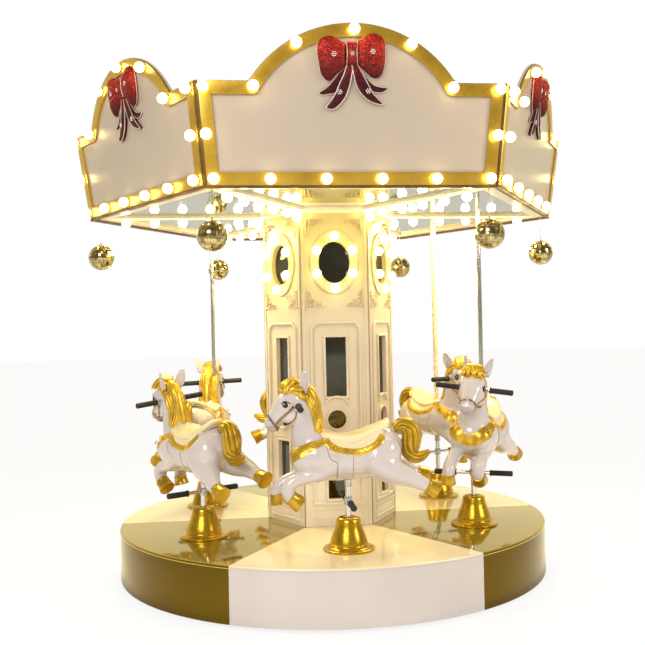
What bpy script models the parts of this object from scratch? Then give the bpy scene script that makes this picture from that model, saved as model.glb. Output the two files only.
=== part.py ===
"""Six-seat pony carousel: a turning deck, mirrored column and canopy on a fixed steel base.

Metres, +Z up. The origin is on the floor under the turning axis, and seat 1 faces -Y.
The deck, column and canopy pieces of a seat are built once, facing -Y, and turned about Z by
their parent empty. Each horse is set on its own post with its own turn, lift and lean.
"""
import math

import bmesh
import bpy
from mathutils import Matrix, Vector

# Seats and sector layout
SEATS = 6
SECTOR = math.radians(360 / SEATS)
HALF = SECTOR / 2
GAP = 0.0003

# Deck, skirt and the steel under them
DECK_RADIUS = 1.10
DECK_TOP = 0.263
SKIRT_BOTTOM = 0.015
SHELL = 0.008
FLANGE = 0.006
SPOKE_TOP = 0.200
SPOKE_BOTTOM = 0.140
SPOKE_WIDTH = 0.060
SPOKE_END = 1.060
CROSS_BAR_WIDTH = 0.050
CROSS_BAR_BOTTOM = 0.160
HUB_RADIUS = 0.100
SEAT_RING_OUTER = 0.400
SEAT_RING_INNER = 0.300

# Fixed base
BASE_BOTTOM = 0.020
BASE_TOP = 0.070
BASE_REACH = 1.000
BASE_WIDTH = 0.060
FOOT_RADIUS = 0.045
FOOT_CIRCLE = 0.950
PIVOT_RADIUS = 0.090
SPIGOT_RADIUS = 0.030
SPIGOT_TOP = 0.240
PIVOT_CLEAR = 0.0004
PIVOT_SIDES = 16

# Column
COLUMN_APOTHEM = 0.295
PANEL = 0.015
CORE_WALL = 0.008
MOULDING = 0.008
SOFFIT = 1.8435
MIRROR_OVAL = (0.076, 0.100, 1.582)
OVAL_RING = (0.123, 0.160, 1.585)
TALL_FRAME = (0.118, 0.372, 1.276)
TALL_MIRROR = (0.051, 0.911, 1.207)
ROUND_MIRROR = (0.046, 0.7955)
LOW_MIRROR = (0.050, 0.400, 0.680)
FRAME_BAR = 0.014
BASEBOARD = (0.130, 0.290, 0.355)

# Canopy
CANOPY_CORNER = 1.228
CANOPY_APOTHEM = CANOPY_CORNER * math.cos(HALF)
LEAN = math.radians(7.47)
BOW_AT = 0.533
BOW_PROUD = 0.026
BOARD = 0.012
FRAME_WIDTH = 0.055
FRAME_PROUD = 0.010
SHOULDER = 0.4231
ARCH_HALF = 0.430
ARCH_RISE = 0.235
SOFFIT_BOARD = 0.012
SOFFIT_MIRROR = 0.006
RIB_WIDTH = 0.060
BORDER = 0.070
ROOF_DECK_BOTTOM = 2.050
ROOF_DECK = 0.012

# Mirror balls
BALL_RADIUS = 0.065
BALL_DROP = 0.200
BALL_CIRCLE = 1.180
WIRE_RADIUS = 0.0015

# Horses: x forward, y outward, z above the deck
SEAT_CIRCLE = 0.770
POST_RADIUS = 0.0125
POST_BOTTOM = 0.120
POST_SIDES = 12
POLE_RADIUS = 0.0145
POLE_TOP = 1.950
POST_IN_BODY = 0.450
RUNNING = 0.0004
HORSES_WITH_POLE = (3, 4)
HORSES_WITH_ROD = (2, 5)
ROD_RADIUS = 0.0105
ROD_AT = 0.165
ROD_IN_HEAD = 0.690
ROD_OUT = {2: 0.024, 5: -0.034}
HEADING = (0.0, 3.0, -6.0, 0.0, 14.0, 4.0)
LEAN_OUT = (2.0, 6.5, 0.0, 2.0, 3.0, 5.5)
OUT = (0.000, 0.018, 0.000, 0.000, 0.016, 0.018)
LIFT = (0.000, 0.038, 0.041, 0.045, 0.036, 0.000)
POST_AHEAD = (0.014, 0.0, 0.0, 0.0, 0.0, 0.0)
BODY_AHEAD = (0.010, 0.0, 0.0, 0.0, 0.0, 0.0)
BELLY = 0.310
SLEEVE_RADIUS = 0.0165
SLEEVE_DROP = 0.030
FOOT_BAR_HEIGHT = 0.218
FOOT_BAR_HALF = 0.196
FOOT_GRIP = 0.110
GRIP_RADIUS = 0.0140
BAR_RADIUS = 0.0085
HANDLE_AT = (0.210, 0.652)
HANDLE_HALF = 0.186
HANDLE_GRIP = 0.112

# Bells
BELL_HEIGHT = 0.145
BELL_FLANGE = 0.1155
BELL_BODY = 0.084
BELL_CROWN = 0.054
BELL_STEPS = 16


def clear_scene():
    """Remove whatever the file holds, and make the two collections."""
    for item in list(bpy.data.objects):
        bpy.data.objects.remove(item)
    parts = bpy.data.collections.new("carousel")
    tools = bpy.data.collections.new("cutters")
    bpy.context.scene.collection.children.link(parts)
    bpy.context.scene.collection.children.link(tools)
    return parts, tools


PARTS, TOOLS = clear_scene()


def finish(name, colour, roughness, metallic):
    """A Principled material in one plain finish."""
    made = bpy.data.materials.new(name)
    made.use_nodes = True
    shader = made.node_tree.nodes["Principled BSDF"]
    shader.inputs["Base Color"].default_value = (*colour, 1.0)
    shader.inputs["Roughness"].default_value = roughness
    shader.inputs["Metallic"].default_value = metallic
    made.diffuse_color = (*colour, 1.0)
    return made


WHITE_SHELL = finish("white_gelcoat", (0.90, 0.88, 0.82), 0.18, 0.0)
GOLD_SHELL = finish("gold_paint", (0.62, 0.42, 0.06), 0.25, 0.6)
HORSE_WHITE = finish("horse_white", (0.93, 0.91, 0.90), 0.15, 0.0)
PANEL_CREAM = finish("panel_cream", (0.92, 0.87, 0.76), 0.35, 0.0)
MIRROR = finish("mirror_glass", (0.75, 0.80, 0.82), 0.03, 1.0)
STEEL = finish("painted_steel", (0.30, 0.31, 0.32), 0.5, 0.4)
CHROME = finish("chromed_steel", (0.80, 0.80, 0.80), 0.15, 1.0)
BLACK_GRIP = finish("black_grip", (0.03, 0.03, 0.03), 0.6, 0.0)
ROOF_WOOD = finish("roof_board", (0.70, 0.62, 0.48), 0.7, 0.0)


def link(name, mesh, collection):
    made = bpy.data.objects.new(name, mesh)
    collection.objects.link(made)
    return made


def as_cutter(item):
    item.hide_render = True
    item.display_type = "WIRE"
    return item


def evaluated_mesh(item, name):
    """The mesh an object shows with its modifiers, its own matrix applied and its caps welded."""
    graph = bpy.context.evaluated_depsgraph_get()
    graph.update()
    mesh = bpy.data.meshes.new_from_object(item.evaluated_get(graph), depsgraph=graph)
    mesh.name = name
    mesh.transform(item.matrix_world)
    work = bmesh.new()
    work.from_mesh(mesh)
    bmesh.ops.remove_doubles(work, verts=work.verts, dist=0.00002)
    bmesh.ops.recalc_face_normals(work, faces=work.faces)
    work.to_mesh(mesh)
    work.free()
    return mesh


def settle(item):
    """Turn an object with modifiers, or a curve, into a plain mesh object in the cutters collection."""
    bpy.context.view_layer.update()
    name = item.name
    mesh = evaluated_mesh(item, name)
    bpy.data.objects.remove(item)
    return as_cutter(link(name, mesh, TOOLS))


def combine(base, tools, operation):
    """Boolean the tools into the base one by one, and return the settled result."""
    for tool in tools:
        step = base.modifiers.new(operation.lower(), "BOOLEAN")
        step.operation = operation
        step.solver = "EXACT"
        step.object = tool
    return settle(base)


def plate(name, loops, low, high):
    """A flat outline with holes, extruded along Z from low to high."""
    curve = bpy.data.curves.new(name, "CURVE")
    curve.dimensions = "2D"
    curve.fill_mode = "BOTH"
    curve.extrude = (high - low) / 2
    for loop in loops:
        spline = curve.splines.new("POLY")
        spline.points.add(len(loop) - 1)
        for point, (x, y) in zip(spline.points, loop):
            point.co = (x, y, 0, 1)
        spline.use_cyclic_u = True
    made = link(name, curve, TOOLS)
    made.location.z = (low + high) / 2
    return settle(made)


def upright(item):
    """Stand a plate drawn in X and Z up, with its low side towards -Y."""
    item.data.transform(Matrix.Rotation(math.radians(90), 4, "X"))
    return item


def front_plate(name, loops, near, far):
    """A front-view outline in X and Z, as a solid from y = -far to y = -near."""
    return upright(plate(name, loops, near, far))


def rod(name, radius, start, end, sides):
    """A round bar between two points."""
    start = Vector(start)
    end = Vector(end)
    work = bmesh.new()
    turn = (end - start).to_track_quat("Z", "Y").to_matrix().to_4x4()
    place = Matrix.Translation((start + end) / 2) @ turn
    bmesh.ops.create_cone(work, cap_ends=True, segments=sides, radius1=radius, radius2=radius,
                          depth=(end - start).length, matrix=place)
    mesh = bpy.data.meshes.new(name)
    work.to_mesh(mesh)
    work.free()
    return as_cutter(link(name, mesh, TOOLS))


def block(name, low, high):
    """A box between two corners."""
    work = bmesh.new()
    low = Vector(low)
    high = Vector(high)
    size = high - low
    place = Matrix.Translation((low + high) / 2) @ Matrix.Diagonal((*size, 1))
    bmesh.ops.create_cube(work, size=1, matrix=place)
    mesh = bpy.data.meshes.new(name)
    work.to_mesh(mesh)
    work.free()
    return as_cutter(link(name, mesh, TOOLS))


def turned(name, profile, steps):
    """A profile of (radius, height) points, outer side from top to bottom.

    It closes on itself unless it starts on the axis.
    """
    mesh = bpy.data.meshes.new(name)
    edges = [(i, i + 1) for i in range(len(profile) - 1)]
    if profile[0][0] > 0:
        edges.append((len(profile) - 1, 0))
    mesh.from_pydata([(r, 0, z) for r, z in profile], edges, [])
    made = link(name, mesh, TOOLS)
    spin = made.modifiers.new("turn", "SCREW")
    spin.steps = steps
    spin.render_steps = steps
    spin.use_merge_vertices = True
    spin.merge_threshold = 0.0001
    return settle(made)


def polygon(corner, sides=SEATS, turn=0.0):
    """Corners of a regular polygon round the turning axis."""
    step = 2 * math.pi / sides
    return [(corner * math.cos(turn + i * step), corner * math.sin(turn + i * step))
            for i in range(sides)]


def ellipse(half_x, half_y, centre_y, steps):
    step = 2 * math.pi / steps
    return [(half_x * math.cos(i * step), centre_y + half_y * math.sin(i * step)) for i in range(steps)]


def rectangle(half, low, high):
    return [(-half, low), (half, low), (half, high), (-half, high)]


def chamfered(half, low, high, cut):
    return [(-half, low), (half, low), (half, high - cut), (half - cut, high),
            (cut - half, high), (-half, high - cut)]


def sector_outline(apothem, radius, inset, steps):
    """A 60 degree slice about -Y: straight inner edge, round outer edge, seams moved in by inset."""
    inner = apothem * math.tan(HALF) - inset / math.cos(HALF)
    reach = HALF - math.asin(inset / radius)
    arc = [-reach + 2 * reach * i / steps for i in range(steps + 1)]
    rim = [(radius * math.sin(a), -radius * math.cos(a)) for a in arc]
    return [(-inner, -apothem), *rim, (inner, -apothem)]


def wedge(name, low, high, reach):
    """The room of one seat between its two seam planes, as a tool to trim with."""
    side = reach * math.tan(HALF) - GAP / 2 / math.cos(HALF)
    near = 0.1
    near_side = near * math.tan(HALF) - GAP / 2 / math.cos(HALF)
    loop = [(-near_side, -near), (-side, -reach), (side, -reach), (near_side, -near)]
    return plate(name, [loop], low, high)


def deck_sector_mesh():
    """One moulded slice of the deck: top, outer skirt, two seam flanges, and the post's hole."""
    arc_steps = 10
    inner = COLUMN_APOTHEM - 0.010
    shell = plate("deck_sector", [sector_outline(inner, DECK_RADIUS, GAP / 2, arc_steps)],
                  SKIRT_BOTTOM, DECK_TOP)
    under = DECK_TOP - SHELL
    inside = DECK_RADIUS - SHELL
    room = plate("deck_room", [sector_outline(0.20, inside, FLANGE, arc_steps)], -0.1, under)
    low = plate("deck_low_room", [sector_outline(0.20, inside, -0.02, arc_steps)], -0.1,
                SPOKE_TOP + GAP)
    hub = plate("deck_hub_room", [sector_outline(0.20, 0.42, -0.02, 4)], -0.1, under)
    hole = rod("deck_hole", 0.030, (0, -SEAT_CIRCLE, 0), (0, -SEAT_CIRCLE, 1), 12)
    return combine(shell, [room, low, hub, hole], "DIFFERENCE")


def clear_of(radius, sides, gap):
    """The corner radius of a faceted bore whose flats clear a bar of this radius by the gap."""
    return (radius + gap) / math.cos(math.pi / sides)


def bell_mesh():
    """The gold bell that hides the post's gland, with the guide bush inside it."""
    bore = clear_of(POST_RADIUS, BELL_STEPS, RUNNING)
    bush = bore + 0.008
    wall = 0.006
    profile = [
        (BELL_CROWN, BELL_HEIGHT),
        (BELL_CROWN + 0.005, BELL_HEIGHT - 0.012),
        (0.068, 0.090),
        (0.081, 0.050),
        (BELL_BODY, 0.020),
        (BELL_FLANGE, 0.010),
        (BELL_FLANGE, GAP),
        (BELL_BODY - wall, GAP),
        (0.081 - wall, 0.050),
        (0.068 - wall, 0.090),
        (BELL_CROWN - wall, BELL_HEIGHT - 0.014),
        (bush, BELL_HEIGHT - 0.014),
        (bush, 0.060),
        (bore, 0.060),
        (bore, BELL_HEIGHT),
    ]
    bell = turned("bell", profile, BELL_STEPS)
    return bell


def turntable_mesh():
    """Welded steel under the deck: hub, six spokes below the seams, cross bars that guide the posts."""
    hub = rod("turntable_frame", HUB_RADIUS, (0, 0, SPOKE_BOTTOM), (0, 0, SPOKE_TOP), PIVOT_SIDES)
    adds = []
    for i in range(SEATS // 2):
        beam = block(f"spoke_{i + 1}", (-SPOKE_END, -SPOKE_WIDTH / 2, SPOKE_BOTTOM),
                     (SPOKE_END, SPOKE_WIDTH / 2, SPOKE_TOP))
        beam.data.transform(Matrix.Rotation(i * SECTOR, 4, "Z"))
        adds.append(beam)
    middle = SEAT_CIRCLE / math.cos(HALF)
    half_bar = CROSS_BAR_WIDTH / 2 / math.cos(HALF)
    adds.append(plate("cross_bars", [polygon(middle + half_bar), polygon(middle - half_bar)],
                      CROSS_BAR_BOTTOM, SPOKE_TOP - 0.002))
    adds.append(plate("seat_ring", [polygon(SEAT_RING_OUTER), polygon(SEAT_RING_INNER)],
                      SPOKE_TOP - 0.010, DECK_TOP - SHELL - GAP))
    frame = combine(hub, adds, "UNION")
    cuts = [rod("hub_bore", clear_of(SPIGOT_RADIUS, PIVOT_SIDES, PIVOT_CLEAR), (0, 0, 0), (0, 0, 1),
                PIVOT_SIDES)]
    guide = clear_of(POST_RADIUS, POST_SIDES, RUNNING)
    for seat in range(1, SEATS + 1):
        x, y, top = post_place(seat).translation
        cuts.append(rod(f"guide_{seat}", guide, (x, y, 0), (x, y, top), POST_SIDES))
    return combine(frame, cuts, "DIFFERENCE")


def base_mesh():
    """The fixed base: three crossing beams on levelling feet, with the pivot the deck turns on."""
    base = rod("base_frame", PIVOT_RADIUS, (0, 0, BASE_BOTTOM), (0, 0, SPOKE_BOTTOM - GAP),
               PIVOT_SIDES)
    adds = [rod("spigot", SPIGOT_RADIUS, (0, 0, BASE_BOTTOM), (0, 0, SPIGOT_TOP), PIVOT_SIDES)]
    for i in range(SEATS // 2):
        beam = block(f"base_beam_{i + 1}", (-BASE_REACH, -BASE_WIDTH / 2, BASE_BOTTOM),
                     (BASE_REACH, BASE_WIDTH / 2, BASE_TOP))
        beam.data.transform(Matrix.Rotation(i * SECTOR, 4, "Z"))
        adds.append(beam)
    for i in range(SEATS):
        x = FOOT_CIRCLE * math.cos(i * SECTOR)
        y = FOOT_CIRCLE * math.sin(i * SECTOR)
        adds.append(rod(f"foot_{i + 1}", FOOT_RADIUS, (x, y, 0), (x, y, BASE_BOTTOM + 0.01), 12))
    return combine(base, adds, "UNION")


def core_mesh():
    """The six-sided mirrored tube behind the column panels, which carries the canopy."""
    outside = (COLUMN_APOTHEM - PANEL - GAP) / math.cos(HALF)
    inside = outside - CORE_WALL / math.cos(HALF)
    return plate("mirror_core", [polygon(outside), polygon(inside)],
                 DECK_TOP - SHELL, ROOF_DECK_BOTTOM - GAP)


def column_panel_mesh():
    """One moulded face of the column, with openings over the mirror and raised mouldings."""
    face = COLUMN_APOTHEM
    back = COLUMN_APOTHEM - PANEL
    mitre = GAP / 2 / math.cos(HALF)
    front_half = face * math.tan(HALF) - mitre
    back_half = back * math.tan(HALF) - mitre
    plan = [(-front_half, -face), (front_half, -face), (back_half, -back), (-back_half, -back)]
    panel = plate("column_panel", [plan], DECK_TOP + GAP, SOFFIT - GAP)
    proud = face + MOULDING
    sunk = face - 0.004
    oval_steps = 20
    tall_half, tall_low, tall_high = TALL_FRAME
    bar = FRAME_BAR
    ring = ellipse(OVAL_RING[0], OVAL_RING[1], OVAL_RING[2], oval_steps)
    inner_ring = ellipse(MIRROR_OVAL[0] + 0.010, MIRROR_OVAL[1] + 0.010, MIRROR_OVAL[2], oval_steps)
    frame = chamfered(tall_half, tall_low, tall_high, 0.030)
    inner_frame = chamfered(tall_half - bar, tall_low + bar, tall_high - bar, 0.025)
    adds = [
        front_plate("oval_ring", [ring, inner_ring], sunk, proud),
        front_plate("tall_frame", [frame, inner_frame], sunk, proud),
        front_plate("baseboard", [rectangle(*BASEBOARD)], sunk, proud),
    ]
    panel = combine(panel, adds, "UNION")
    oval = ellipse(*MIRROR_OVAL, oval_steps)
    medallion = ellipse(ROUND_MIRROR[0], ROUND_MIRROR[0], ROUND_MIRROR[1], 14)
    cuts = [
        front_plate("oval_opening", [oval], back - 0.02, proud + 0.02),
        front_plate("tall_opening", [rectangle(*TALL_MIRROR)], back - 0.02, proud + 0.02),
        front_plate("round_opening", [medallion], back - 0.02, proud + 0.02),
        front_plate("low_opening", [rectangle(*LOW_MIRROR)], back - 0.02, proud + 0.02),
    ]
    return combine(panel, cuts, "DIFFERENCE")


def fascia_outline(margin, half_at):
    """The board's front view up its slope, moved in by margin: shoulders, then the arch."""
    radius = (ARCH_HALF ** 2 + ARCH_RISE ** 2) / (2 * ARCH_RISE)
    centre = SHOULDER + ARCH_RISE - radius
    shoulder = SHOULDER - margin
    radius -= margin
    reach = math.acos((shoulder - centre) / radius)
    steps = 12
    arc = [reach - 2 * reach * i / steps for i in range(steps + 1)]
    top = [(radius * math.sin(a), centre + radius * math.cos(a)) for a in arc]
    return [(-half_at(margin), margin), (half_at(margin), margin),
            (half_at(shoulder), shoulder), *top, (-half_at(shoulder), shoulder)]


def fascia_half(margin):
    """Half the board's width at a height up the slope, moved in by margin."""
    def half(height):
        return (CANOPY_APOTHEM + height * math.sin(LEAN)) * math.tan(HALF) - margin
    return half


def lean_out(item):
    """Place a plate drawn flat (x across, y up the slope, z outward) as the leaning front board."""
    stand = Matrix.Rotation(math.radians(90) + LEAN, 4, "X")
    item.data.transform(Matrix.Translation((0, -CANOPY_APOTHEM, SOFFIT)) @ stand)
    return item


def mirrored(half):
    """A closed outline from its right half, listed from the bottom of the centre line upwards."""
    return half + [(-x, y) for x, y in reversed(half) if x > 0]


def bow_outline():
    """The ribbon bow: two round loops beside a knot, and two forked tails."""
    half = [(0.000, -0.085), (0.035, -0.150), (0.072, -0.200), (0.120, -0.205), (0.100, -0.160),
            (0.148, -0.138), (0.095, -0.118), (0.060, -0.075), (0.100, -0.097), (0.126, -0.070),
            (0.137, -0.015), (0.136, 0.045), (0.118, 0.080), (0.090, 0.088), (0.026, 0.038),
            (0.000, 0.040)]
    return [(x, BOW_AT + y) for x, y in mirrored(half)]


def fascia_panel_mesh():
    """One leaning canopy board with its raised frame, mitred to its neighbours, and its bow."""
    outer = fascia_outline(0.0, fascia_half(-0.05))
    inner = fascia_outline(FRAME_WIDTH, fascia_half(FRAME_WIDTH))
    board = lean_out(plate("fascia_panel", [outer], -BOARD, 0))
    frame = lean_out(plate("fascia_frame", [outer, inner], -BOARD / 2, FRAME_PROUD))
    bow = lean_out(plate("fascia_bow", [bow_outline()], -BOARD / 3, BOW_PROUD))
    board = combine(board, [frame, bow], "UNION")
    trim = wedge("fascia_trim", SOFFIT, SOFFIT + 1.0, 1.5)
    return combine(board, [trim], "INTERSECT")


def soffit_frame_mesh():
    """Cream boards under the canopy: a border, a ring round the column, and six ribs."""
    outside = (CANOPY_APOTHEM - BOARD / math.cos(LEAN) - GAP) / math.cos(HALF)
    throat = (COLUMN_APOTHEM - PANEL) / math.cos(HALF)
    loops = [polygon(outside), polygon(throat)]
    low = COLUMN_APOTHEM + 0.030
    high = outside * math.cos(HALF) - BORDER
    slack = RIB_WIDTH / 2 / math.cos(HALF)
    for i in range(SEATS):
        turn = Matrix.Rotation(i * SECTOR, 2)
        window = [(-(low * math.tan(HALF) - slack), -low), (-(high * math.tan(HALF) - slack), -high),
                  (high * math.tan(HALF) - slack, -high), (low * math.tan(HALF) - slack, -low)]
        loops.append([tuple(turn @ Vector(p)) for p in window])
    return plate("soffit_frame", loops, SOFFIT, SOFFIT + SOFFIT_BOARD)


def round_hole(x, y, radius, steps):
    step = 2 * math.pi / steps
    return [(x + radius * math.cos(i * step), y + radius * math.sin(i * step)) for i in range(steps)]


def soffit_mirror_mesh():
    """The mirror sheet above the ribs, drilled where the horses' poles and rods slide through."""
    low = SOFFIT + SOFFIT_BOARD + GAP
    outside = (CANOPY_APOTHEM - BOARD / math.cos(LEAN) - GAP) / math.cos(HALF)
    throat = (COLUMN_APOTHEM - PANEL) / math.cos(HALF)
    loops = [polygon(outside), polygon(throat)]
    for seat in HORSES_WITH_POLE:
        at = horse_place(seat).translation
        loops.append(round_hole(at.x, at.y, clear_of(POLE_RADIUS, POST_SIDES, RUNNING), POST_SIDES))
    for seat in HORSES_WITH_ROD:
        at = horse_place(seat) @ Vector((*rod_place(seat), 0))
        loops.append(round_hole(at.x, at.y, clear_of(ROD_RADIUS, POST_SIDES, RUNNING), POST_SIDES))
    return plate("soffit_mirror", loops, low, low + SOFFIT_MIRROR)


def roof_deck_mesh():
    """The flat roof board set down inside the fascia."""
    back = CANOPY_APOTHEM - BOARD / math.cos(LEAN)
    edge = back + (ROOF_DECK_BOTTOM - SOFFIT) * math.tan(LEAN) - GAP
    return plate("roof_deck", [polygon(edge / math.cos(HALF))], ROOF_DECK_BOTTOM,
                 ROOF_DECK_BOTTOM + ROOF_DECK)


def mirror_ball_mesh():
    """A mirror ball on its taut wire, near the canopy corner at the seat's right-hand seam."""
    at = -math.pi / 2 + HALF
    x = BALL_CIRCLE * math.cos(at)
    y = BALL_CIRCLE * math.sin(at)
    centre = SOFFIT - BALL_DROP
    work = bmesh.new()
    bmesh.ops.create_uvsphere(work, u_segments=12, v_segments=8, radius=BALL_RADIUS,
                              matrix=Matrix.Translation((x, y, centre)))
    mesh = bpy.data.meshes.new("mirror_ball")
    work.to_mesh(mesh)
    work.free()
    ball = as_cutter(link("mirror_ball", mesh, TOOLS))
    wire = rod("ball_wire", WIRE_RADIUS, (x, y, centre + BALL_RADIUS / 2), (x, y, SOFFIT - GAP), 6)
    return combine(ball, [wire], "UNION")


def smooth_run(points, steps):
    """Catmull-Rom points through (x, y, z, radius) stations."""
    stations = [points[0], *points, points[-1]]
    run = []
    for i in range(1, len(stations) - 2):
        a, b, c, d = (Vector(p) for p in stations[i - 1:i + 3])
        for k in range(steps):
            t = k / steps
            run.append(0.5 * (2 * b + (c - a) * t + (2 * a - 5 * b + 4 * c - d) * t * t
                              + (3 * b - a - 3 * c + d) * t * t * t))
    run.append(Vector(points[-1]))
    return run


def limb(name, points, widen=1.0):
    """A soft tapered form along stations of (x, y, z, radius), widened sideways by a factor."""
    run = smooth_run(points, 4)
    curve = bpy.data.curves.new(name, "CURVE")
    curve.dimensions = "3D"
    curve.bevel_depth = 1.0
    curve.bevel_resolution = 4
    curve.use_fill_caps = True
    spline = curve.splines.new("POLY")
    spline.points.add(len(run) - 1)
    for point, (x, y, z, radius) in zip(spline.points, run):
        point.co = (x, y, z, 1)
        point.radius = radius
    made = settle(link(name, curve, TOOLS))
    centre = points[0][1]
    for vertex in made.data.vertices:
        vertex.co.y = centre + (vertex.co.y - centre) * widen
    return made


def hoof(name, top, sole, top_radius, sole_radius):
    """A flared hoof between the pastern and the sole."""
    top = Vector(top)
    sole = Vector(sole)
    work = bmesh.new()
    turn = (top - sole).to_track_quat("Z", "Y").to_matrix().to_4x4()
    bmesh.ops.create_cone(work, cap_ends=True, segments=16, radius1=sole_radius, radius2=top_radius,
                          depth=(top - sole).length, matrix=Matrix.Translation((top + sole) / 2) @ turn)
    mesh = bpy.data.meshes.new(name)
    work.to_mesh(mesh)
    work.free()
    return as_cutter(link(name, mesh, TOOLS))


def trunk_forms():
    """Body, neck, head, hair and saddle: x forward, y outward, z above the deck."""
    return [
        limb("torso", [(0.240, 0, 0.430, 0.020), (0.212, 0, 0.430, 0.072), (0.145, 0, 0.425, 0.106),
                       (0.060, 0, 0.415, 0.106), (-0.040, 0, 0.412, 0.102), (-0.140, 0, 0.436, 0.114),
                       (-0.208, 0, 0.455, 0.088), (-0.258, 0, 0.455, 0.020)], 1.10),
        limb("neck", [(0.120, 0, 0.440, 0.104), (0.160, 0, 0.520, 0.080), (0.170, 0, 0.590, 0.064),
                      (0.186, 0, 0.650, 0.060), (0.200, 0, 0.700, 0.044)], 1.05),
        limb("head", [(0.190, 0, 0.715, 0.020), (0.220, 0, 0.690, 0.054), (0.260, 0, 0.650, 0.062),
                      (0.298, 0, 0.606, 0.046), (0.324, 0, 0.574, 0.037), (0.345, 0, 0.551, 0.018)],
             1.10),
        limb("forelock", [(0.190, 0, 0.735, 0.026), (0.230, 0, 0.742, 0.030),
                          (0.276, 0, 0.718, 0.020)], 1.9),
        limb("mane", [(0.200, 0, 0.742, 0.022), (0.150, 0, 0.708, 0.034), (0.134, 0, 0.650, 0.034),
                      (0.122, 0, 0.585, 0.030), (0.108, 0, 0.525, 0.020)], 1.5),
        limb("saddle", [(0.100, 0, 0.520, 0.018), (0.035, 0, 0.503, 0.018), (-0.040, 0, 0.505, 0.018),
                        (-0.115, 0, 0.528, 0.018), (-0.178, 0, 0.560, 0.016)], 4.6),
        limb("tail", [(-0.215, 0, 0.530, 0.022), (-0.262, 0, 0.545, 0.034), (-0.300, 0, 0.515, 0.050),
                      (-0.304, 0, 0.460, 0.052), (-0.322, 0, 0.418, 0.040), (-0.362, 0, 0.405, 0.024),
                      (-0.386, 0, 0.422, 0.010)], 0.85),
    ]


def leg_forms():
    """Forelegs folded under the chest and hind legs stretched back, each ending in its hoof."""
    return [
        limb("near_foreleg", [(0.110, 0.050, 0.400, 0.070), (0.190, 0.060, 0.350, 0.051),
                              (0.246, 0.066, 0.314, 0.039), (0.261, 0.066, 0.282, 0.032),
                              (0.253, 0.066, 0.252, 0.029)]),
        hoof("near_fore_hoof", (0.254, 0.066, 0.254), (0.209, 0.066, 0.222), 0.029, 0.038),
        limb("far_foreleg", [(0.130, -0.050, 0.405, 0.070), (0.225, -0.060, 0.358, 0.052),
                             (0.278, -0.066, 0.314, 0.040), (0.299, -0.066, 0.274, 0.031),
                             (0.303, -0.066, 0.248, 0.030)]),
        hoof("far_fore_hoof", (0.304, -0.066, 0.252), (0.296, -0.066, 0.208), 0.029, 0.038),
        limb("near_hindleg", [(-0.130, 0.046, 0.412, 0.090), (-0.200, 0.080, 0.358, 0.062),
                              (-0.268, 0.108, 0.332, 0.043), (-0.322, 0.126, 0.306, 0.034),
                              (-0.348, 0.131, 0.296, 0.031)]),
        hoof("near_hind_hoof", (-0.346, 0.131, 0.300), (-0.390, 0.133, 0.276), 0.030, 0.041),
        limb("far_hindleg", [(-0.130, -0.046, 0.412, 0.090), (-0.200, -0.074, 0.360, 0.062),
                             (-0.270, -0.092, 0.338, 0.043), (-0.325, -0.100, 0.316, 0.034),
                             (-0.350, -0.102, 0.308, 0.031)]),
        hoof("far_hind_hoof", (-0.346, -0.102, 0.310), (-0.392, -0.103, 0.292), 0.030, 0.041),
    ]


def ear_forms():
    return [limb(f"ear_{side}", [(0.190, 0.045 * side, 0.712, 0.025), (0.186, 0.055 * side, 0.748, 0.024),
                                 (0.179, 0.066 * side, 0.780, 0.011)]) for side in (1, -1)]


def horse_skin():
    """The moulded horse as one skin, before it is drilled."""
    forms = trunk_forms() + leg_forms() + ear_forms()
    body = forms[0]
    body.name = "horse_skin"
    work = bmesh.new()
    for form in forms:
        work.from_mesh(form.data)
    work.to_mesh(body.data)
    work.free()
    for form in forms[1:]:
        bpy.data.objects.remove(form)
    skin = body.modifiers.new("skin", "REMESH")
    skin.mode = "VOXEL"
    skin.voxel_size = 0.011
    soften = body.modifiers.new("soften", "SMOOTH")
    soften.factor = 0.5
    soften.iterations = 3
    thin = body.modifiers.new("thin", "DECIMATE")
    thin.ratio = 0.042
    return settle(body)


def post_place(seat):
    """Where a seat's post comes through the deck."""
    slot = Matrix.Rotation((seat - 1) * SECTOR, 4, "Z")
    return slot @ Matrix.Translation((-POST_AHEAD[seat - 1], -SEAT_CIRCLE, DECK_TOP))


def horse_place(seat):
    """A horse's own frame in the world: x forward, y outward, z above the deck, turned on its post."""
    turn = Matrix.Rotation(math.pi + math.radians(HEADING[seat - 1]), 4, "Z")
    return post_place(seat) @ Matrix.Translation((0, 0, LIFT[seat - 1])) @ turn


def lean_of(seat):
    """How a horse sits on its post: leaning outward about its belly, a little out and ahead."""
    lean = Matrix.Rotation(-math.radians(LEAN_OUT[seat - 1]), 4, "X")
    set_out = Matrix.Translation((BODY_AHEAD[seat - 1], OUT[seat - 1], BELLY))
    return set_out @ lean @ Matrix.Translation((0, 0, -BELLY))


def rod_place(seat):
    """Where the rod stands over the top of the leaning head."""
    top = lean_of(seat) @ Vector((ROD_AT, ROD_OUT[seat], ROD_IN_HEAD))
    return top.x, top.y


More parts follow.
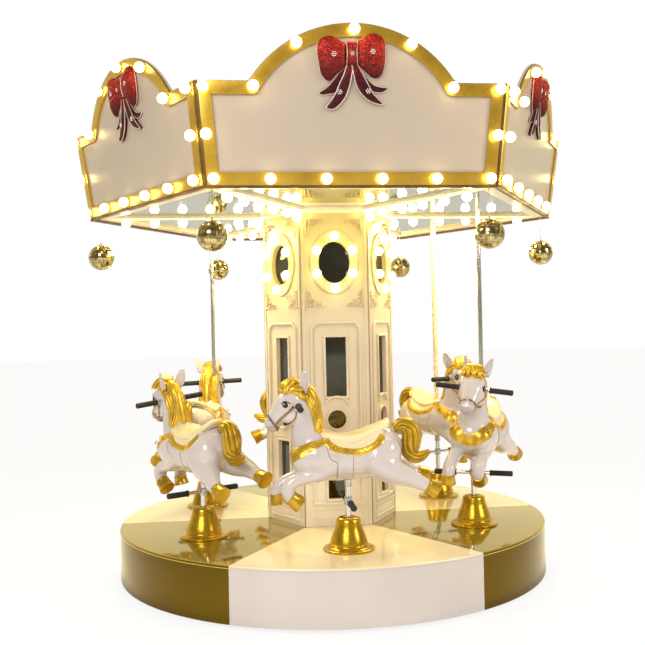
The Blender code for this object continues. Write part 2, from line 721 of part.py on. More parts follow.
def horse_body(seat, skin):
    """One horse, set on its post, and drilled for the post, the handlebar and the pole or rod."""
    mesh = skin.data.copy()
    body = as_cutter(link(f"horse_{seat}_body_mesh", mesh, TOOLS))
    mesh.name = body.name
    mesh.transform(lean_of(seat))
    x, z = HANDLE_AT
    bar = rod("handle_hole", BAR_RADIUS + GAP, (x, -0.3, z), (x, 0.3, z), 8)
    bar.data.transform(lean_of(seat))
    with_pole = seat in HORSES_WITH_POLE
    reach = 1.0 if with_pole else POST_IN_BODY + GAP
    radius = (POLE_RADIUS if with_pole else POST_RADIUS) + GAP
    sleeve = rod("sleeve_hole", SLEEVE_RADIUS + GAP, (0, 0, 0.1), (0, 0, BELLY + 0.02), POST_SIDES)
    cuts = [bar, rod("post_hole", radius, (0, 0, 0.1), (0, 0, reach), POST_SIDES), sleeve]
    if seat in HORSES_WITH_ROD:
        x, y = rod_place(seat)
        cuts.append(rod("rod_hole", ROD_RADIUS + GAP, (x, y, ROD_IN_HEAD), (x, y, 1), POST_SIDES))
    return combine(body, cuts, "DIFFERENCE")


def rod_mesh(seat):
    """The thin rod from the top of a horse's head up through the canopy."""
    x, y = rod_place(seat)
    return rod(f"horse_{seat}_rod_mesh", ROD_RADIUS, (x, y, ROD_IN_HEAD + GAP),
               (x, y, POLE_TOP - DECK_TOP), POST_SIDES)


def post_mesh(name, with_pole):
    """The sliding post: foot bar, sleeve under the belly, and the pole to the canopy if it has one."""
    bottom = POST_BOTTOM - DECK_TOP
    foot = FOOT_BAR_HEIGHT
    top = POLE_TOP - DECK_TOP if with_pole else POST_IN_BODY
    upper = POLE_RADIUS if with_pole else POST_RADIUS
    sleeve_top = BELLY + 0.02 - GAP
    sleeve_low = BELLY - SLEEVE_DROP
    profile = [(0, top), (upper, top), (upper, sleeve_top), (SLEEVE_RADIUS, sleeve_top),
               (SLEEVE_RADIUS, sleeve_low), (POST_RADIUS, sleeve_low), (POST_RADIUS, bottom), (0, bottom)]
    post = turned(name, profile, POST_SIDES)
    adds = [rod("foot_bar", BAR_RADIUS, (0, -FOOT_BAR_HALF + 0.01, foot),
                (0, FOOT_BAR_HALF - 0.01, foot), 8)]
    for side in (1, -1):
        adds.append(rod(f"foot_grip_{side}", GRIP_RADIUS,
                        (0, side * (FOOT_BAR_HALF - FOOT_GRIP), foot),
                        (0, side * FOOT_BAR_HALF, foot), 10))
    return combine(post, adds, "UNION")


def handlebar_mesh(seat):
    """The bar through the horse's head with a rubber grip on each end."""
    x, z = HANDLE_AT
    bar = rod(f"horse_{seat}_handlebar_mesh", BAR_RADIUS, (x, 0.01 - HANDLE_HALF, z),
              (x, HANDLE_HALF - 0.01, z), 8)
    adds = []
    for side in (1, -1):
        adds.append(rod(f"hand_grip_{side}", GRIP_RADIUS, (x, side * (HANDLE_HALF - HANDLE_GRIP), z),
                        (x, side * HANDLE_HALF, z), 10))
    bar = combine(bar, adds, "UNION")
    bar.data.transform(lean_of(seat))
    return bar


def place(name, source, material, parent):
    """Add one named piece that shares the source's mesh and has its own material."""
    source.name = f"{source.data.name}_shape"
    made = link(name, source.data, PARTS)
    if not made.data.materials:
        made.data.materials.append(None)
    made.material_slots[0].link = "OBJECT"
    made.material_slots[0].material = material
    made.parent = parent
    return made


def build():
    """Make each piece once, and set the six seats round the axis."""
    axis = bpy.data.objects.new("turning_axis", None)
    PARTS.objects.link(axis)
    place("base_frame", base_mesh(), STEEL, None)
    place("turntable_frame", turntable_mesh(), STEEL, axis)
    place("mirror_core", core_mesh(), MIRROR, axis)
    place("soffit_frame", soffit_frame_mesh(), PANEL_CREAM, axis)
    place("soffit_mirror", soffit_mirror_mesh(), MIRROR, axis)
    place("roof_deck", roof_deck_mesh(), ROOF_WOOD, axis)
    sector = deck_sector_mesh()
    bell = bell_mesh()
    panel = column_panel_mesh()
    fascia = fascia_panel_mesh()
    ball = mirror_ball_mesh()
    skin = horse_skin()
    posts = {kind: post_mesh(f"horse_post_{kind}", kind) for kind in (True, False)}
    for seat in range(1, SEATS + 1):
        slot = bpy.data.objects.new(f"seat_{seat}_place", None)
        PARTS.objects.link(slot)
        slot.parent = axis
        slot.rotation_euler.z = (seat - 1) * SECTOR
        horse = bpy.data.objects.new(f"horse_{seat}_place", None)
        PARTS.objects.link(horse)
        horse.parent = axis
        horse.matrix_local = horse_place(seat)
        gland = bpy.data.objects.new(f"post_{seat}_place", None)
        PARTS.objects.link(gland)
        gland.parent = axis
        gland.matrix_local = post_place(seat)
        place(f"deck_sector_{seat}", sector, WHITE_SHELL if seat % 2 else GOLD_SHELL, slot)
        place(f"bell_{seat}", bell, GOLD_SHELL, gland)
        place(f"column_panel_{seat}", panel, PANEL_CREAM, slot)
        place(f"fascia_panel_{seat}", fascia, PANEL_CREAM, slot)
        place(f"mirror_ball_{seat}", ball, MIRROR, slot)
        place(f"horse_{seat}_body", horse_body(seat, skin), HORSE_WHITE, horse)
        place(f"horse_{seat}_post", posts[seat in HORSES_WITH_POLE], CHROME, horse)
        place(f"horse_{seat}_handlebar", handlebar_mesh(seat), BLACK_GRIP, horse)
        if seat in HORSES_WITH_ROD:
            place(f"horse_{seat}_rod", rod_mesh(seat), CHROME, horse)


build()
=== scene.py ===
"""Six-seat pony carousel, dressed: gelcoat deck, mirrored column, lit canopy and gilded ponies."""
import random
from math import atan2, copysign, cos, hypot, pi, radians, sin, sqrt, tan

import bmesh
import bpy
from mathutils import Matrix, Vector
from mathutils.bvhtree import BVHTree


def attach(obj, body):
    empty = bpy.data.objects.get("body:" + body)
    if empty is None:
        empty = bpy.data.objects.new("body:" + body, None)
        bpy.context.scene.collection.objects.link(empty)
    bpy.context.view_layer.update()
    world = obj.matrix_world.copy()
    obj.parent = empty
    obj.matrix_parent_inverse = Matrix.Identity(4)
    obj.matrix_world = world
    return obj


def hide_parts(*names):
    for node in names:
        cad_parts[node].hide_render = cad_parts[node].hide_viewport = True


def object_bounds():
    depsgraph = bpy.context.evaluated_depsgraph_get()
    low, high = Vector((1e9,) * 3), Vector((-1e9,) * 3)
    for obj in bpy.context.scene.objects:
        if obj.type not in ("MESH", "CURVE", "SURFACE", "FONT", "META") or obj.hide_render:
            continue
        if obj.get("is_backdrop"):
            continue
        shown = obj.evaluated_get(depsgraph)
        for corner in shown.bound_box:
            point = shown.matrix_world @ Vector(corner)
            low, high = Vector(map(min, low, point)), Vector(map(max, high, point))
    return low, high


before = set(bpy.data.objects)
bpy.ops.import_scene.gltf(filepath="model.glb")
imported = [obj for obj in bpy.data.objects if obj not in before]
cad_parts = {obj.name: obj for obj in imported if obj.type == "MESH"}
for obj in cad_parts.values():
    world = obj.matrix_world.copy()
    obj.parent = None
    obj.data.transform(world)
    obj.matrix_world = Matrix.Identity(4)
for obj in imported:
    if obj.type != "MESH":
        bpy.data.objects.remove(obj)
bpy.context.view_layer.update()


# Camera: where the picture was taken from, a little left of seat 1 and just above the riders'
# heads. Its small shift puts the turning axis where the picture has it.
def shift(x, y, z):
    return Matrix.Translation((x, y, z))


def rotated(degrees, axis):
    return Matrix.Rotation(radians(degrees), 4, axis)


def new_object(name, data):
    made = bpy.data.objects.new(name, data)
    bpy.context.scene.collection.objects.link(made)
    return made


IMAGE = 645
FOCAL = 897.4
STANDS_BACK, STANDS_UP = 4.7916, 1.2455
TURNED_ROUND, YAW, PITCH, ROLL = -6.28, -0.46, 0.71, -1.19
camera = new_object("camera", bpy.data.cameras.new("camera"))
camera.data.lens = camera.data.sensor_width * FOCAL / IMAGE
camera.data.shift_x, camera.data.shift_y = -13.4 / IMAGE, -4.1 / IMAGE
camera.matrix_world = (rotated(TURNED_ROUND, "Z") @ shift(0, -STANDS_BACK, STANDS_UP)
                       @ rotated(YAW, "Z") @ rotated(90 + PITCH, "X") @ rotated(ROLL, "Z"))
bpy.context.scene.camera = camera


# Steel under the deck: a fixed base on levelling feet and the turning frame above it, both
# welded from square tube and sprayed dark grey, with dust and scuffs on the paint.
class Tone:
    """A shader socket that adds, multiplies and mixes like a number."""

    def __init__(self, tree, socket=None):
        self.tree, self.socket = tree, socket

    def node(self, kind, settings, inputs, out=0):
        """Add a node: its settings first, then a value or a link for each socket named."""
        made = self.tree.nodes.new(kind)
        for key, value in settings.items():
            setattr(made, key, value)
        for key, value in inputs.items():
            if isinstance(value, Tone):
                self.tree.links.new(value.socket, made.inputs[key])
            else:
                made.inputs[key].default_value = value
        return Tone(self.tree, made.outputs[out])

    def maths(self, operation, *values):
        return self.node("ShaderNodeMath", {"operation": operation}, dict(enumerate(values)))

    def __add__(self, other):
        return self.maths("ADD", self, other)

    def __mul__(self, other):
        return self.maths("MULTIPLY", self, other)

    __radd__ = __add__
    __rmul__ = __mul__

    def between(self, low, high):
        """0 below low, 1 above high, and a smooth step from one to the other."""
        return self.node("ShaderNodeMapRange", {"interpolation_type": "SMOOTHSTEP"},
                         {"Value": self, "From Min": low, "From Max": high})

    def mix(self, first, second):
        """A colour between two, by this socket."""
        a, b = (c if isinstance(c, Tone) else (*c, 1) for c in (first, second))
        return self.node("ShaderNodeMix", {"data_type": "RGBA"}, {0: self, 6: a, 7: b}, out=2)


def place_of(paint):
    """Where a point is on the object, as the pattern's coordinates."""
    return paint.node("ShaderNodeTexCoord", {}, {}, out="Object")


def height_of(paint):
    return paint.node("ShaderNodeSeparateXYZ", {}, {"Vector": place_of(paint)}, out="Z")


def noise(paint, scale, detail=3.0):
    return paint.node("ShaderNodeTexNoise", {},
                      {"Vector": place_of(paint), "Scale": scale, "Detail": detail})


def feed(made, key, tone):
    made.node_tree.links.new(tone.socket, made.node_tree.nodes["Principled BSDF"].inputs[key])


def bumpy(made, height, strength, depth):
    feed(made, "Normal", height.node("ShaderNodeBump", {}, {"Height": height, "Strength": strength,
                                                            "Distance": depth}))


def new_finish(name, sockets, gloss=None, bump=None):
    """A Principled material with its plain values on the shader's own sockets.

    gloss is (scale, amount, least) of the roughness, bump is (scale, detail, strength, depth).
    """
    made = bpy.data.materials.new(name)
    made.use_nodes = True
    paint = Tone(made.node_tree)
    for key, value in sockets.items():
        made.node_tree.nodes["Principled BSDF"].inputs[key].default_value = value
    if gloss:
        feed(made, "Roughness", noise(paint, gloss[0]) * gloss[1] + gloss[2])
    if bump:
        bumpy(made, noise(paint, *bump[:2]), *bump[2:])
    return made, paint


def clouded(name, sockets, cloud, colours, gloss, bump=None):
    """A finish whose colour clouds to another: cloud is (scale, detail, low, high)."""
    made, paint = new_finish(name, sockets, gloss, bump)
    feed(made, "Base Color", noise(paint, *cloud[:2]).between(*cloud[2:]).mix(*colours))
    return made


def coated(name, colour, shade, gloss, patch, grain, depth, sockets):
    """A sprayed or moulded finish: colour clouding to a shade, uneven gloss, and a fine grain."""
    made, paint = new_finish(name, sockets, None, (grain, 3.0, 0.25, depth))
    cloud = noise(paint, patch)
    feed(made, "Base Color", cloud.between(0.35, 0.75).mix(colour, shade))
    feed(made, "Roughness", cloud * (gloss * 0.5) + noise(paint, grain * 0.3) * (gloss * 0.4)
         + gloss * 0.55)
    return made


def dress(node, finish):
    """Give a CAD node that stays its finish."""
    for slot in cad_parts[node].material_slots:
        slot.material = finish


sprayed_steel = coated("sprayed_steel", (0.10, 0.105, 0.11), (0.20, 0.19, 0.17), 0.45, 6, 90, 0.0006,
                       {"Metallic": 0.3})
dress("base_frame", sprayed_steel)
dress("turntable_frame", sprayed_steel)


# Deck: six moulded slices with an eased rim and a turned-down skirt, white and mirror-gold by
# turns, bolted down edge to edge on the turning frame. Each is drilled where a post slides.
SEATS = range(1, 7)
SLICE = radians(60)
DECK_RADIUS = 1.10
DECK_TOP = 0.263
SKIRT_BOTTOM = 0.015
DECK_SHELL = 0.007
DECK_INNER = 0.287
SEAM = 0.0006
POST_CIRCLE = 0.770
POST_AHEAD = {1: 0.014}
REACH = SLICE / 2 - SEAM / DECK_RADIUS / 2


def round_the_axis(seat):
    return Matrix.Rotation((seat - 1) * SLICE, 4, "Z")


def post_place(seat):
    """Where a seat's post comes up through the deck."""
    return round_the_axis(seat) @ shift(-POST_AHEAD.get(seat, 0), -POST_CIRCLE, DECK_TOP)


def oval(half_x, half_y, centre, steps):
    """An oval's corners round a centre."""
    turns = [2 * pi / steps * i for i in range(steps)]
    return [(centre[0] + half_x * cos(a), centre[1] + half_y * sin(a)) for a in turns]


def outline(bm, corners, z=0.0):
    """A closed line through (x, y) corners."""
    points = [bm.verts.new((x, y, z)) for x, y in corners]
    for ends in zip(points, points[1:] + points[:1]):
        bm.edges.new(ends)


def filled(bm):
    """The area between outlines, skinned over."""
    bmesh.ops.triangle_fill(bm, use_beauty=True, edges=bm.edges[:])
    bmesh.ops.dissolve_limit(bm, angle_limit=0.01, verts=bm.verts[:], edges=bm.edges[:])


def raise_new(bm, grown, rise):
    """Move an extrusion's new corners up."""
    corners = [v for v in grown["geom"] if isinstance(v, bmesh.types.BMVert)]
    bmesh.ops.translate(bm, verts=corners, vec=(0, 0, rise))
    return corners


def faced_out(bm):
    bmesh.ops.recalc_face_normals(bm, faces=bm.faces[:])
    return bm


def thickened(bm, thickness):
    bmesh.ops.solidify(bm, geom=bm.faces[:], thickness=thickness)
    return bm


def sheet_of(loops, low, high):
    """A sheet cut to the first outline, with the others as openings, from z = low to z = high."""
    bm = bmesh.new()
    for loop in loops:
        outline(bm, loop, low)
    filled(bm)
    raise_new(bm, bmesh.ops.extrude_face_region(bm, geom=bm.faces[:]), high - low)
    return faced_out(bm)


def ease(bm, width, steps=2, where=lambda e: True):
    """Round a mesh's sharp edges, those of them for which where(edge) holds."""
    sharp = [e for e in bm.edges
             if len(e.link_faces) == 2 and e.calc_face_angle(0) > radians(35) and where(e)]
    bmesh.ops.bevel(bm, geom=sharp, offset=width, offset_type="OFFSET", affect="EDGES", segments=steps,
                    profile=0.5, material=-1, clamp_overlap=True)
    return bm


def moved(bm, matrix):
    bmesh.ops.transform(bm, matrix=matrix, verts=bm.verts)
    return bm


def placed(bm, matrix):
    """A copy of a mesh, moved."""
    return moved(bm.copy(), matrix)


def joined(parts):
    """Several meshes as one."""
    whole = bmesh.new()
    for part in parts:
        shape = bpy.data.meshes.new("part")
        part.to_mesh(shape)
        whole.from_mesh(shape)
        bpy.data.meshes.remove(shape)
    return whole


def piece(name, bm, finish, slot, body="rotor", crease=32, node=None):
    """A finished object, smooth up to an angle, that rides on its body and may replace a node."""
    mesh = bpy.data.meshes.new(name)
    bm.to_mesh(mesh)
    mesh.materials.append(finish)
    mesh.shade_smooth()
    mesh.set_sharp_from_angle(angle=radians(crease))
    made = new_object(name, mesh)
    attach(made, body)
    if node:
        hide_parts(node)


def deck_slice(seat):
    """One slice facing -Y: the flat top with its hole, and the skirt, as one shell."""
    bm = bmesh.new()
    start = bm.verts.new((-DECK_RADIUS * sin(REACH), -DECK_RADIUS * cos(REACH), DECK_TOP))
    bmesh.ops.spin(bm, geom=[start], cent=(0, 0, 0), axis=(0, 0, 1), angle=2 * REACH, steps=40)
    ends = sorted((v for v in bm.verts if len(v.link_edges) == 1), key=lambda v: v.co.x)
    half = DECK_INNER * tan(SLICE / 2) - SEAM / 2
    left, right = (bm.verts.new((x, -DECK_INNER, DECK_TOP)) for x in (-half, half))
    for pair in ((left, ends[0]), (left, right), (right, ends[1])):
        bm.edges.new(pair)
    outline(bm, oval(0.018, 0.018, (-POST_AHEAD.get(seat, 0), -POST_CIRCLE), 24), DECK_TOP)
    filled(bm)
    rim = [e for e in bm.edges if len(e.link_faces) == 1
           and min(v.co.xy.length for v in e.verts) > DECK_RADIUS - 0.001]
    raise_new(bm, bmesh.ops.extrude_edge_only(bm, edges=rim), SKIRT_BOTTOM - DECK_TOP)
    faced_out(bm)
    if max(bm.faces, key=lambda f: f.calc_area()).normal.z < 0:
        bmesh.ops.reverse_faces(bm, faces=bm.faces[:])
    return thickened(ease(bm, 0.007, 4), DECK_SHELL)


def deck_finish(name, top, skirt, gloss, metal, sockets):
    """Gelcoat painted lighter and warmer on the top, as warm bulb light, and darker on the skirt, as painted
    shade.
    """
    made, paint = new_finish(name, sockets, None, (9, 3.0, 0.08, 0.002))
    cloud = noise(paint, 2.5).between(0.35, 0.75)
    lit_top_colour = cloud.mix(top, [c * 0.86 for c in top])
    shaded_skirt_colour = cloud.mix(skirt, [c * 0.90 for c in skirt])
    # Painted light and shade: above this height the lit top colour, below it the shaded skirt colour.
    over = height_of(paint).between(DECK_TOP - 0.008, DECK_TOP - 0.001)
    feed(made, "Base Color", over.mix(shaded_skirt_colour, lit_top_colour))
    feed(made, "Metallic", over * (metal[0] - metal[1]) + metal[1])
    feed(made, "Coat Weight", over * 0.5 + 0.1)
    feed(made, "Roughness", noise(paint, 18) * gloss + noise(paint, 90, 1) * 0.02 + gloss * 0.5)
    return made


# Each deck finish takes the top's colour, with painted warm light, then the skirt's, with painted shade.
white_gelcoat = deck_finish("white_gelcoat", (0.88, 0.745, 0.46), (0.54, 0.500, 0.490), 0.10,
                            (0.0, 0.0), {"Coat Roughness": 0.04, "IOR": 1.5})
gold_mirror_gelcoat = deck_finish("gold_mirror_gelcoat", (0.38, 0.275, 0.030), (0.125, 0.078, 0.001),
                                  0.08, (0.55, 0.85), {"Coat Roughness": 0.03})
for seat in SEATS:
    shell = (white_gelcoat, "white_shell") if seat % 2 else (gold_mirror_gelcoat, "gold_shell")
    piece(f"deck_{seat}", placed(deck_slice(seat), round_the_axis(seat)), *shell,
          node=f"deck_sector_{seat}")

# Rim bead: a thin raised line round the skirt, just under the deck's eased edge, gold on the gold
# slices and moulded with the white ones.
bright_gold = coated("bright_gold", (0.90, 0.62, 0.14), (0.80, 0.50, 0.08), 0.18, 20, 120, 0.0003,
                     {"Metallic": 1.0})
bead = bmesh.new()
outline(bead, [(-0.002, 0), (0.0015, 0.0012), (0.0015, 0.0036), (-0.002, 0.0048)])
bmesh.ops.contextual_create(bead, geom=bead.edges[:])
moved(bead, Matrix.Rotation(-pi / 2 - REACH, 4, "Z") @ shift(DECK_RADIUS, 0, DECK_TOP - 0.014)
      @ rotated(90, "X"))
bmesh.ops.spin(bead, geom=bead.faces[:], cent=(0, 0, 0), axis=(0, 0, 1), angle=2 * REACH, steps=40)
faced_out(bead)
for seat in SEATS:
    line = (white_gelcoat, "white_shell") if seat % 2 else (bright_gold, "gold_paint")
    piece(f"rim_bead_{seat}", placed(bead, round_the_axis(seat)), *line)


# Bells: six spun covers, sprayed gloss gold, screwed down over the glands that the posts slide
# in. The crown is rounded over to a dark hole, and two fine beads run round the foot.
def turned(profile, steps):
    """A closed (radius, height) outline spun round the Z axis."""
    bm = bmesh.new()
    outline(bm, profile)
    moved(bm, rotated(90, "X"))
    bmesh.ops.spin(bm, geom=bm.verts[:] + bm.edges[:], cent=(0, 0, 0), axis=(0, 0, 1), angle=2 * pi,
                   steps=steps, use_merge=True)
    bmesh.ops.remove_doubles(bm, verts=bm.verts, dist=0.00005)
    return faced_out(bm)


def mm(*rows):
    """Rows of millimetres, in metres."""
    return [tuple(value / 1000 for value in row) for row in rows]


bell = turned(mm((18.5, 100), (18.5, 139.5), (20, 143), (24, 144.8), (42, 144), (48.5, 141.5),
                 (53, 136.5), (55.6, 129), (58, 112), (63.5, 94), (71, 75), (78.5, 55), (82.5, 40),
                 (83.8, 34), (84, 30), (85.8, 29), (86.2, 27.2), (85, 25.6), (85.8, 23.6), (87.4, 22.6),
                 (87.6, 20.6), (86.6, 18.8), (89, 15.8), (95, 13.2), (103, 11.8), (111, 10.8),
                 (114.5, 8.6), (115.5, 5.6), (115, 1.8), (113.5, 0.4), (80, 0.4), (77, 30), (62, 80),
                 (50, 127), (44, 136), (24.5, 138), (22.5, 136), (22.5, 100)), 72)
gloss_gold = coated("gloss_gold", (0.66, 0.42, 0.020), (0.46, 0.27, 0.010), 0.26, 14, 45, 0.0012,
                    {"Metallic": 0.85, "Coat Weight": 0.25, "Coat Roughness": 0.12})
for seat in SEATS:
    piece(f"bell_cover_{seat}", placed(bell, post_place(seat)), gloss_gold, "gold_paint",
          node=f"bell_{seat}")


# Column: a six-sided tube of smoked mirror, faced with six moulded cream panels that leave the
# mirror bare in four openings: an oval, a tall and a low oblong, and a round medallion.
COLUMN = 0.295
COLUMN_CORNER = COLUMN / cos(SLICE / 2)
PANEL = 0.015
SOFFIT = 1.8435
smoked_mirror = clouded("smoked_mirror", {"Metallic": 1.0}, (3.0, 5, 0.3, 0.7),
                        ((0.075, 0.065, 0.042), (0.14, 0.15, 0.135)), (11, 0.05, 0.02))
dress("mirror_core", smoked_mirror)


def chamfered(half, low, high, cut):
    """An oblong with its two top corners cut off."""
    return [(-half, low), (half, low), (half, high - cut), (half - cut, high), (cut - half, high),
            (-half, high - cut)]


def oblong(half, low, high):
    return [(-half, low), (half, low), (half, high), (-half, high)]


def upright(bm, away):
    """Stand a mesh drawn as a front view (x across, y up, z outward) in front of the column."""
    return moved(bm, shift(0, -away, 0) @ rotated(90, "X"))


OVAL_MIRROR = oval(0.079, 0.104, (0, 1.582), 56)
MEDALLION = oval(0.046, 0.046, (0, 0.7955), 40)
TALL_MIRROR = oblong(0.051, 0.911, 1.207)
LOW_MIRROR = oblong(0.050, 0.400, 0.680)
front_half = COLUMN * tan(SLICE / 2) - SEAM
face = sheet_of([oblong(front_half, DECK_TOP + 0.0005, SOFFIT - 0.0005), OVAL_MIRROR, MEDALLION,
                 TALL_MIRROR, LOW_MIRROR], -PANEL, 0)
for corner in face.verts:
    if corner.co.z < -PANEL / 2 and abs(corner.co.x) > front_half - 0.001:
        corner.co.x -= copysign(PANEL * tan(SLICE / 2), corner.co.x)
upright(ease(face, 0.0018, 2, lambda e: all(v.co.z > -0.001 for v in e.verts)), COLUMN)
cream_moulding, paint = new_finish("cream_moulding", {"Coat Weight": 0.25, "Coat Roughness": 0.15},
                                   (12, 0.08, 0.27), (140, 1, 0.2, 0.0003))
height = height_of(paint)
cream = noise(paint, 3).between(0.3, 0.75).mix((0.63, 0.548, 0.425), (0.58, 0.495, 0.365))
# Painted light: the foot of the panels is painted lighter, for the light the deck and floor throw up on it.
cream = height.between(0.42, 0.62).mix((0.88, 0.82, 0.70), cream)
# Painted light: the upper panels are painted yellower, for the bulbs' warm light round the oval and under the
# soffit.
feed(cream_moulding, "Base Color", height.between(1.15, 1.62).mix(cream, (0.58, 0.485, 0.230)))
for seat in SEATS:
    piece(f"column_face_{seat}", placed(face, round_the_axis(seat)), cream_moulding, "cream_panel",
          node=f"column_panel_{seat}")


# Column mouldings: the oval surround, the framed door shape, an arch and a ring over the
# medallion, corner strips and a plinth, all planted on the faces and sprayed with them.
def smooth_line(points, steps=6, closed=False):
    """A line rounded through its points."""
    ends = [points[-1], *points, *points[:2]] if closed else [points[0], *points, points[-1]]
    run = []
    for i in range(1, len(ends) - 2):
        a, b, c, d = (Vector(p) for p in ends[i - 1:i + 3])
        for k in range(steps):
            t = k / steps
            run.append(0.5 * (2 * b + (c - a) * t + (2 * a - 5 * b + 4 * c - d) * t * t
                              + (3 * b - a - 3 * c + d) * t * t * t))
    return run if closed else run + [Vector(points[-1])]


def heading(run, i):
    """Which way a run goes at its i-th point."""
    return run[min(i + 1, len(run) - 1)] - run[max(i - 1, 0)]


def tube(stations, sides=12, flat=1.0, steps=4):
    """A tapering form with rounded ends through (x, y, z, radius) stations, its rings bridged.

    Each ring is squared to the run, with its second axis as near to Y as it can be.
    """
    run = smooth_line(stations, steps)
    bm = bmesh.new()
    rings = []
    hoops = []
    for i, here in enumerate(run):
        ahead = heading(run, i).xyz.normalized()
        across = Vector((0, 0, 1) if abs(ahead.y) > 0.95 else (0, 1, 0))
        across = (across - ahead * across.dot(ahead)).normalized()
        stand = Matrix((across.cross(ahead), across * flat, ahead)).transposed().to_4x4()
        ring = bmesh.ops.create_circle(bm, segments=sides, radius=max(here[3], 0.0003),
                                       matrix=Matrix.Translation(here.xyz) @ stand)["verts"]
        rings.append(ring)
        hoops.append(list({e for corner in ring for e in corner.link_edges}))
    for hoop, following in zip(hoops, hoops[1:]):
        bmesh.ops.bridge_loops(bm, edges=hoop + following)
    for ring in (rings[0], rings[-1]):
        bmesh.ops.contextual_create(bm, geom=ring)
    return faced_out(bm)


def planted(loops, proud, edge):
    """A flat moulding with eased front edges, let a little into the face."""
    return ease(sheet_of(loops, -0.002, proud), edge, 3,
                lambda e: all(v.co.z > proud / 2 for v in e.verts))


def pointed_oval(half_x, half_y, centre, point, steps):
    """An oval drawn out to a soft point at its top and bottom."""
    return [(x * (1 - point * abs(y - centre[1]) / half_y), y)
            for x, y in oval(half_x, half_y, centre, steps)]


def ring_round(half, low, high, cut, bar):
    """A chamfered frame of one width, as its outer and inner outlines."""
    return [chamfered(half, low, high, cut),
            chamfered(half - bar, low + bar, high - bar, cut - bar * 0.4)]


def scroll(x, y, size, start, hand):
    """A leafy C-scroll of a corner ornament, as a tapering bead that curls in at its end."""
    stations = []
    for i in range(9):
        t = i / 8
        a, r = start + hand * t * 4.4, size * (1 - 0.75 * t)
        stations.append((x + r * cos(a), y + r * sin(a), 0.0012, 0.0034 * (1 - 0.55 * t)))
    return tube(stations, 6, 1.0, 2)


def corner_ornament(x, y, across, up):
    """Scrolls that fan from a corner along its two sides, smaller towards the ends."""
    bits = []
    for reach, size in ((0.012, 0.013), (0.034, 0.011), (0.055, 0.009), (0.072, 0.0065)):
        bits.append(scroll(x + across * reach, y + up * 0.010, size, pi / 2 * up, across))
        bits.append(scroll(x + across * 0.010, y + up * reach, size, 0 if across > 0 else pi, -up))
        if reach < 0.05:
            bits.append(scroll(x + across * reach, y + up * reach * 0.9, size * 0.8, pi * 0.75, up))
    bits.append(tube([(x, y + up * 0.085, 0.001, 0.0015), (x, y, 0.001, 0.0034),
                      (x + across * 0.0005, y, 0.001, 0.0034),
                      (x + across * 0.085, y, 0.001, 0.0015)], 6, 1.0, 3))
    return joined(bits)


arch = [(r * sin(a), 0.8445 + r * cos(a)) for r, order in ((0.0705, 1), (0.0590, -1))
        for a in [radians(65 - 6.5 * i) for i in range(21)][::order]]
trim = [planted(*moulding) for moulding in (
    ([pointed_oval(0.125, 0.160, (0, 1.583), 0.09, 64), oval(0.083, 0.108, (0, 1.582), 64)],
     0.0085, 0.0035),
    ([oval(0.085, 0.110, (0, 1.582), 56), oval(0.0785, 0.1035, (0, 1.582), 56)], 0.0115, 0.0028),
    (ring_round(0.128, 0.372, 1.286, 0.028, 0.013), 0.0095, 0.0045),
    (ring_round(0.108, 0.700, 1.264, 0.020, 0.0035), 0.003, 0.0012),
    ([oblong(0.063, 0.899, 1.219), TALL_MIRROR], 0.0085, 0.0040),
    ([oblong(0.062, 0.388, 0.692), LOW_MIRROR], 0.0085, 0.0040),
    ([arch], 0.0100, 0.0042),
    ([oval(0.054, 0.054, (0, 0.7955), 44), MEDALLION], 0.0095, 0.0036),
    ([oblong(0.130, 0.290, 0.298)], 0.006, 0.002),
    ([oblong(0.130, 0.346, 0.355)], 0.006, 0.002),
    ([oblong(0.124, 0.300, 0.344)], 0.003, 0.0012))]
for side in (-1, 1):
    trim.append(planted([[(side * x, y) for x, y in ((0.149, 0.266), (0.163, 0.266), (0.163, 1.838),
                                                     (0.149, 1.838))]], 0.004, 0.0016))
    for up, at in ((1, 1.362), (-1, 1.800)):
        trim.append(moved(corner_ornament(side * 0.139, at, -side, up), Matrix.Diagonal((1, 1, 2, 1))))
mouldings = upright(joined(trim), COLUMN)
for seat in SEATS:
    piece(f"column_trim_{seat}", placed(mouldings, round_the_axis(seat)), cream_moulding,
          "cream_panel")

# Column joints: a dark seam bead stands in each corner of the column, where two faces meet.
seam = moved(tube([(0, 0, DECK_TOP + 0.002, 0.0022), (0, 0, SOFFIT - 0.002, 0.0022)], 8, 1.0, 1),
             shift(0, -COLUMN_CORNER + 0.0012, 0))
seam_filler = coated("seam_filler", (0.16, 0.11, 0.07), (0.22, 0.16, 0.11), 0.5, 20, 90, 0.0003, {})
piece("column_seams", joined([placed(seam, round_the_axis(seat + 0.5)) for seat in SEATS]),
      seam_filler, "cream_panel")


# Bulbs: frosted warm-white globes, pushed into brass cups, all wired to the turning canopy.
BULB = 0.0225
globe = bmesh.new()
bmesh.ops.create_uvsphere(globe, u_segments=18, v_segments=11, radius=BULB,
                          matrix=shift(0, 0, BULB * 1.05))
cup = turned(mm((10.5, 0.2), (18, 0.2), (18, 3), (15.5, 6.5), (14, 6.5), (10.5, 4)), 20)
bulb_glass = []
for name, strength in (("bulb_glass", 9.0), ("soffit_bulb_glass", 27.0)):
    glass, paint = new_finish(name, {"Emission Strength": strength, "Roughness": 0.25})
    glow = noise(paint, 30, 1).between(0.2, 0.8)
    feed(glass, "Base Color", glow.mix((1.0, 0.93, 0.78), (1.0, 0.90, 0.70)))
    feed(glass, "Emission Color", glow.mix((1.0, 0.80, 0.35), (1.0, 0.76, 0.30)))
    bulb_glass.append(glass)


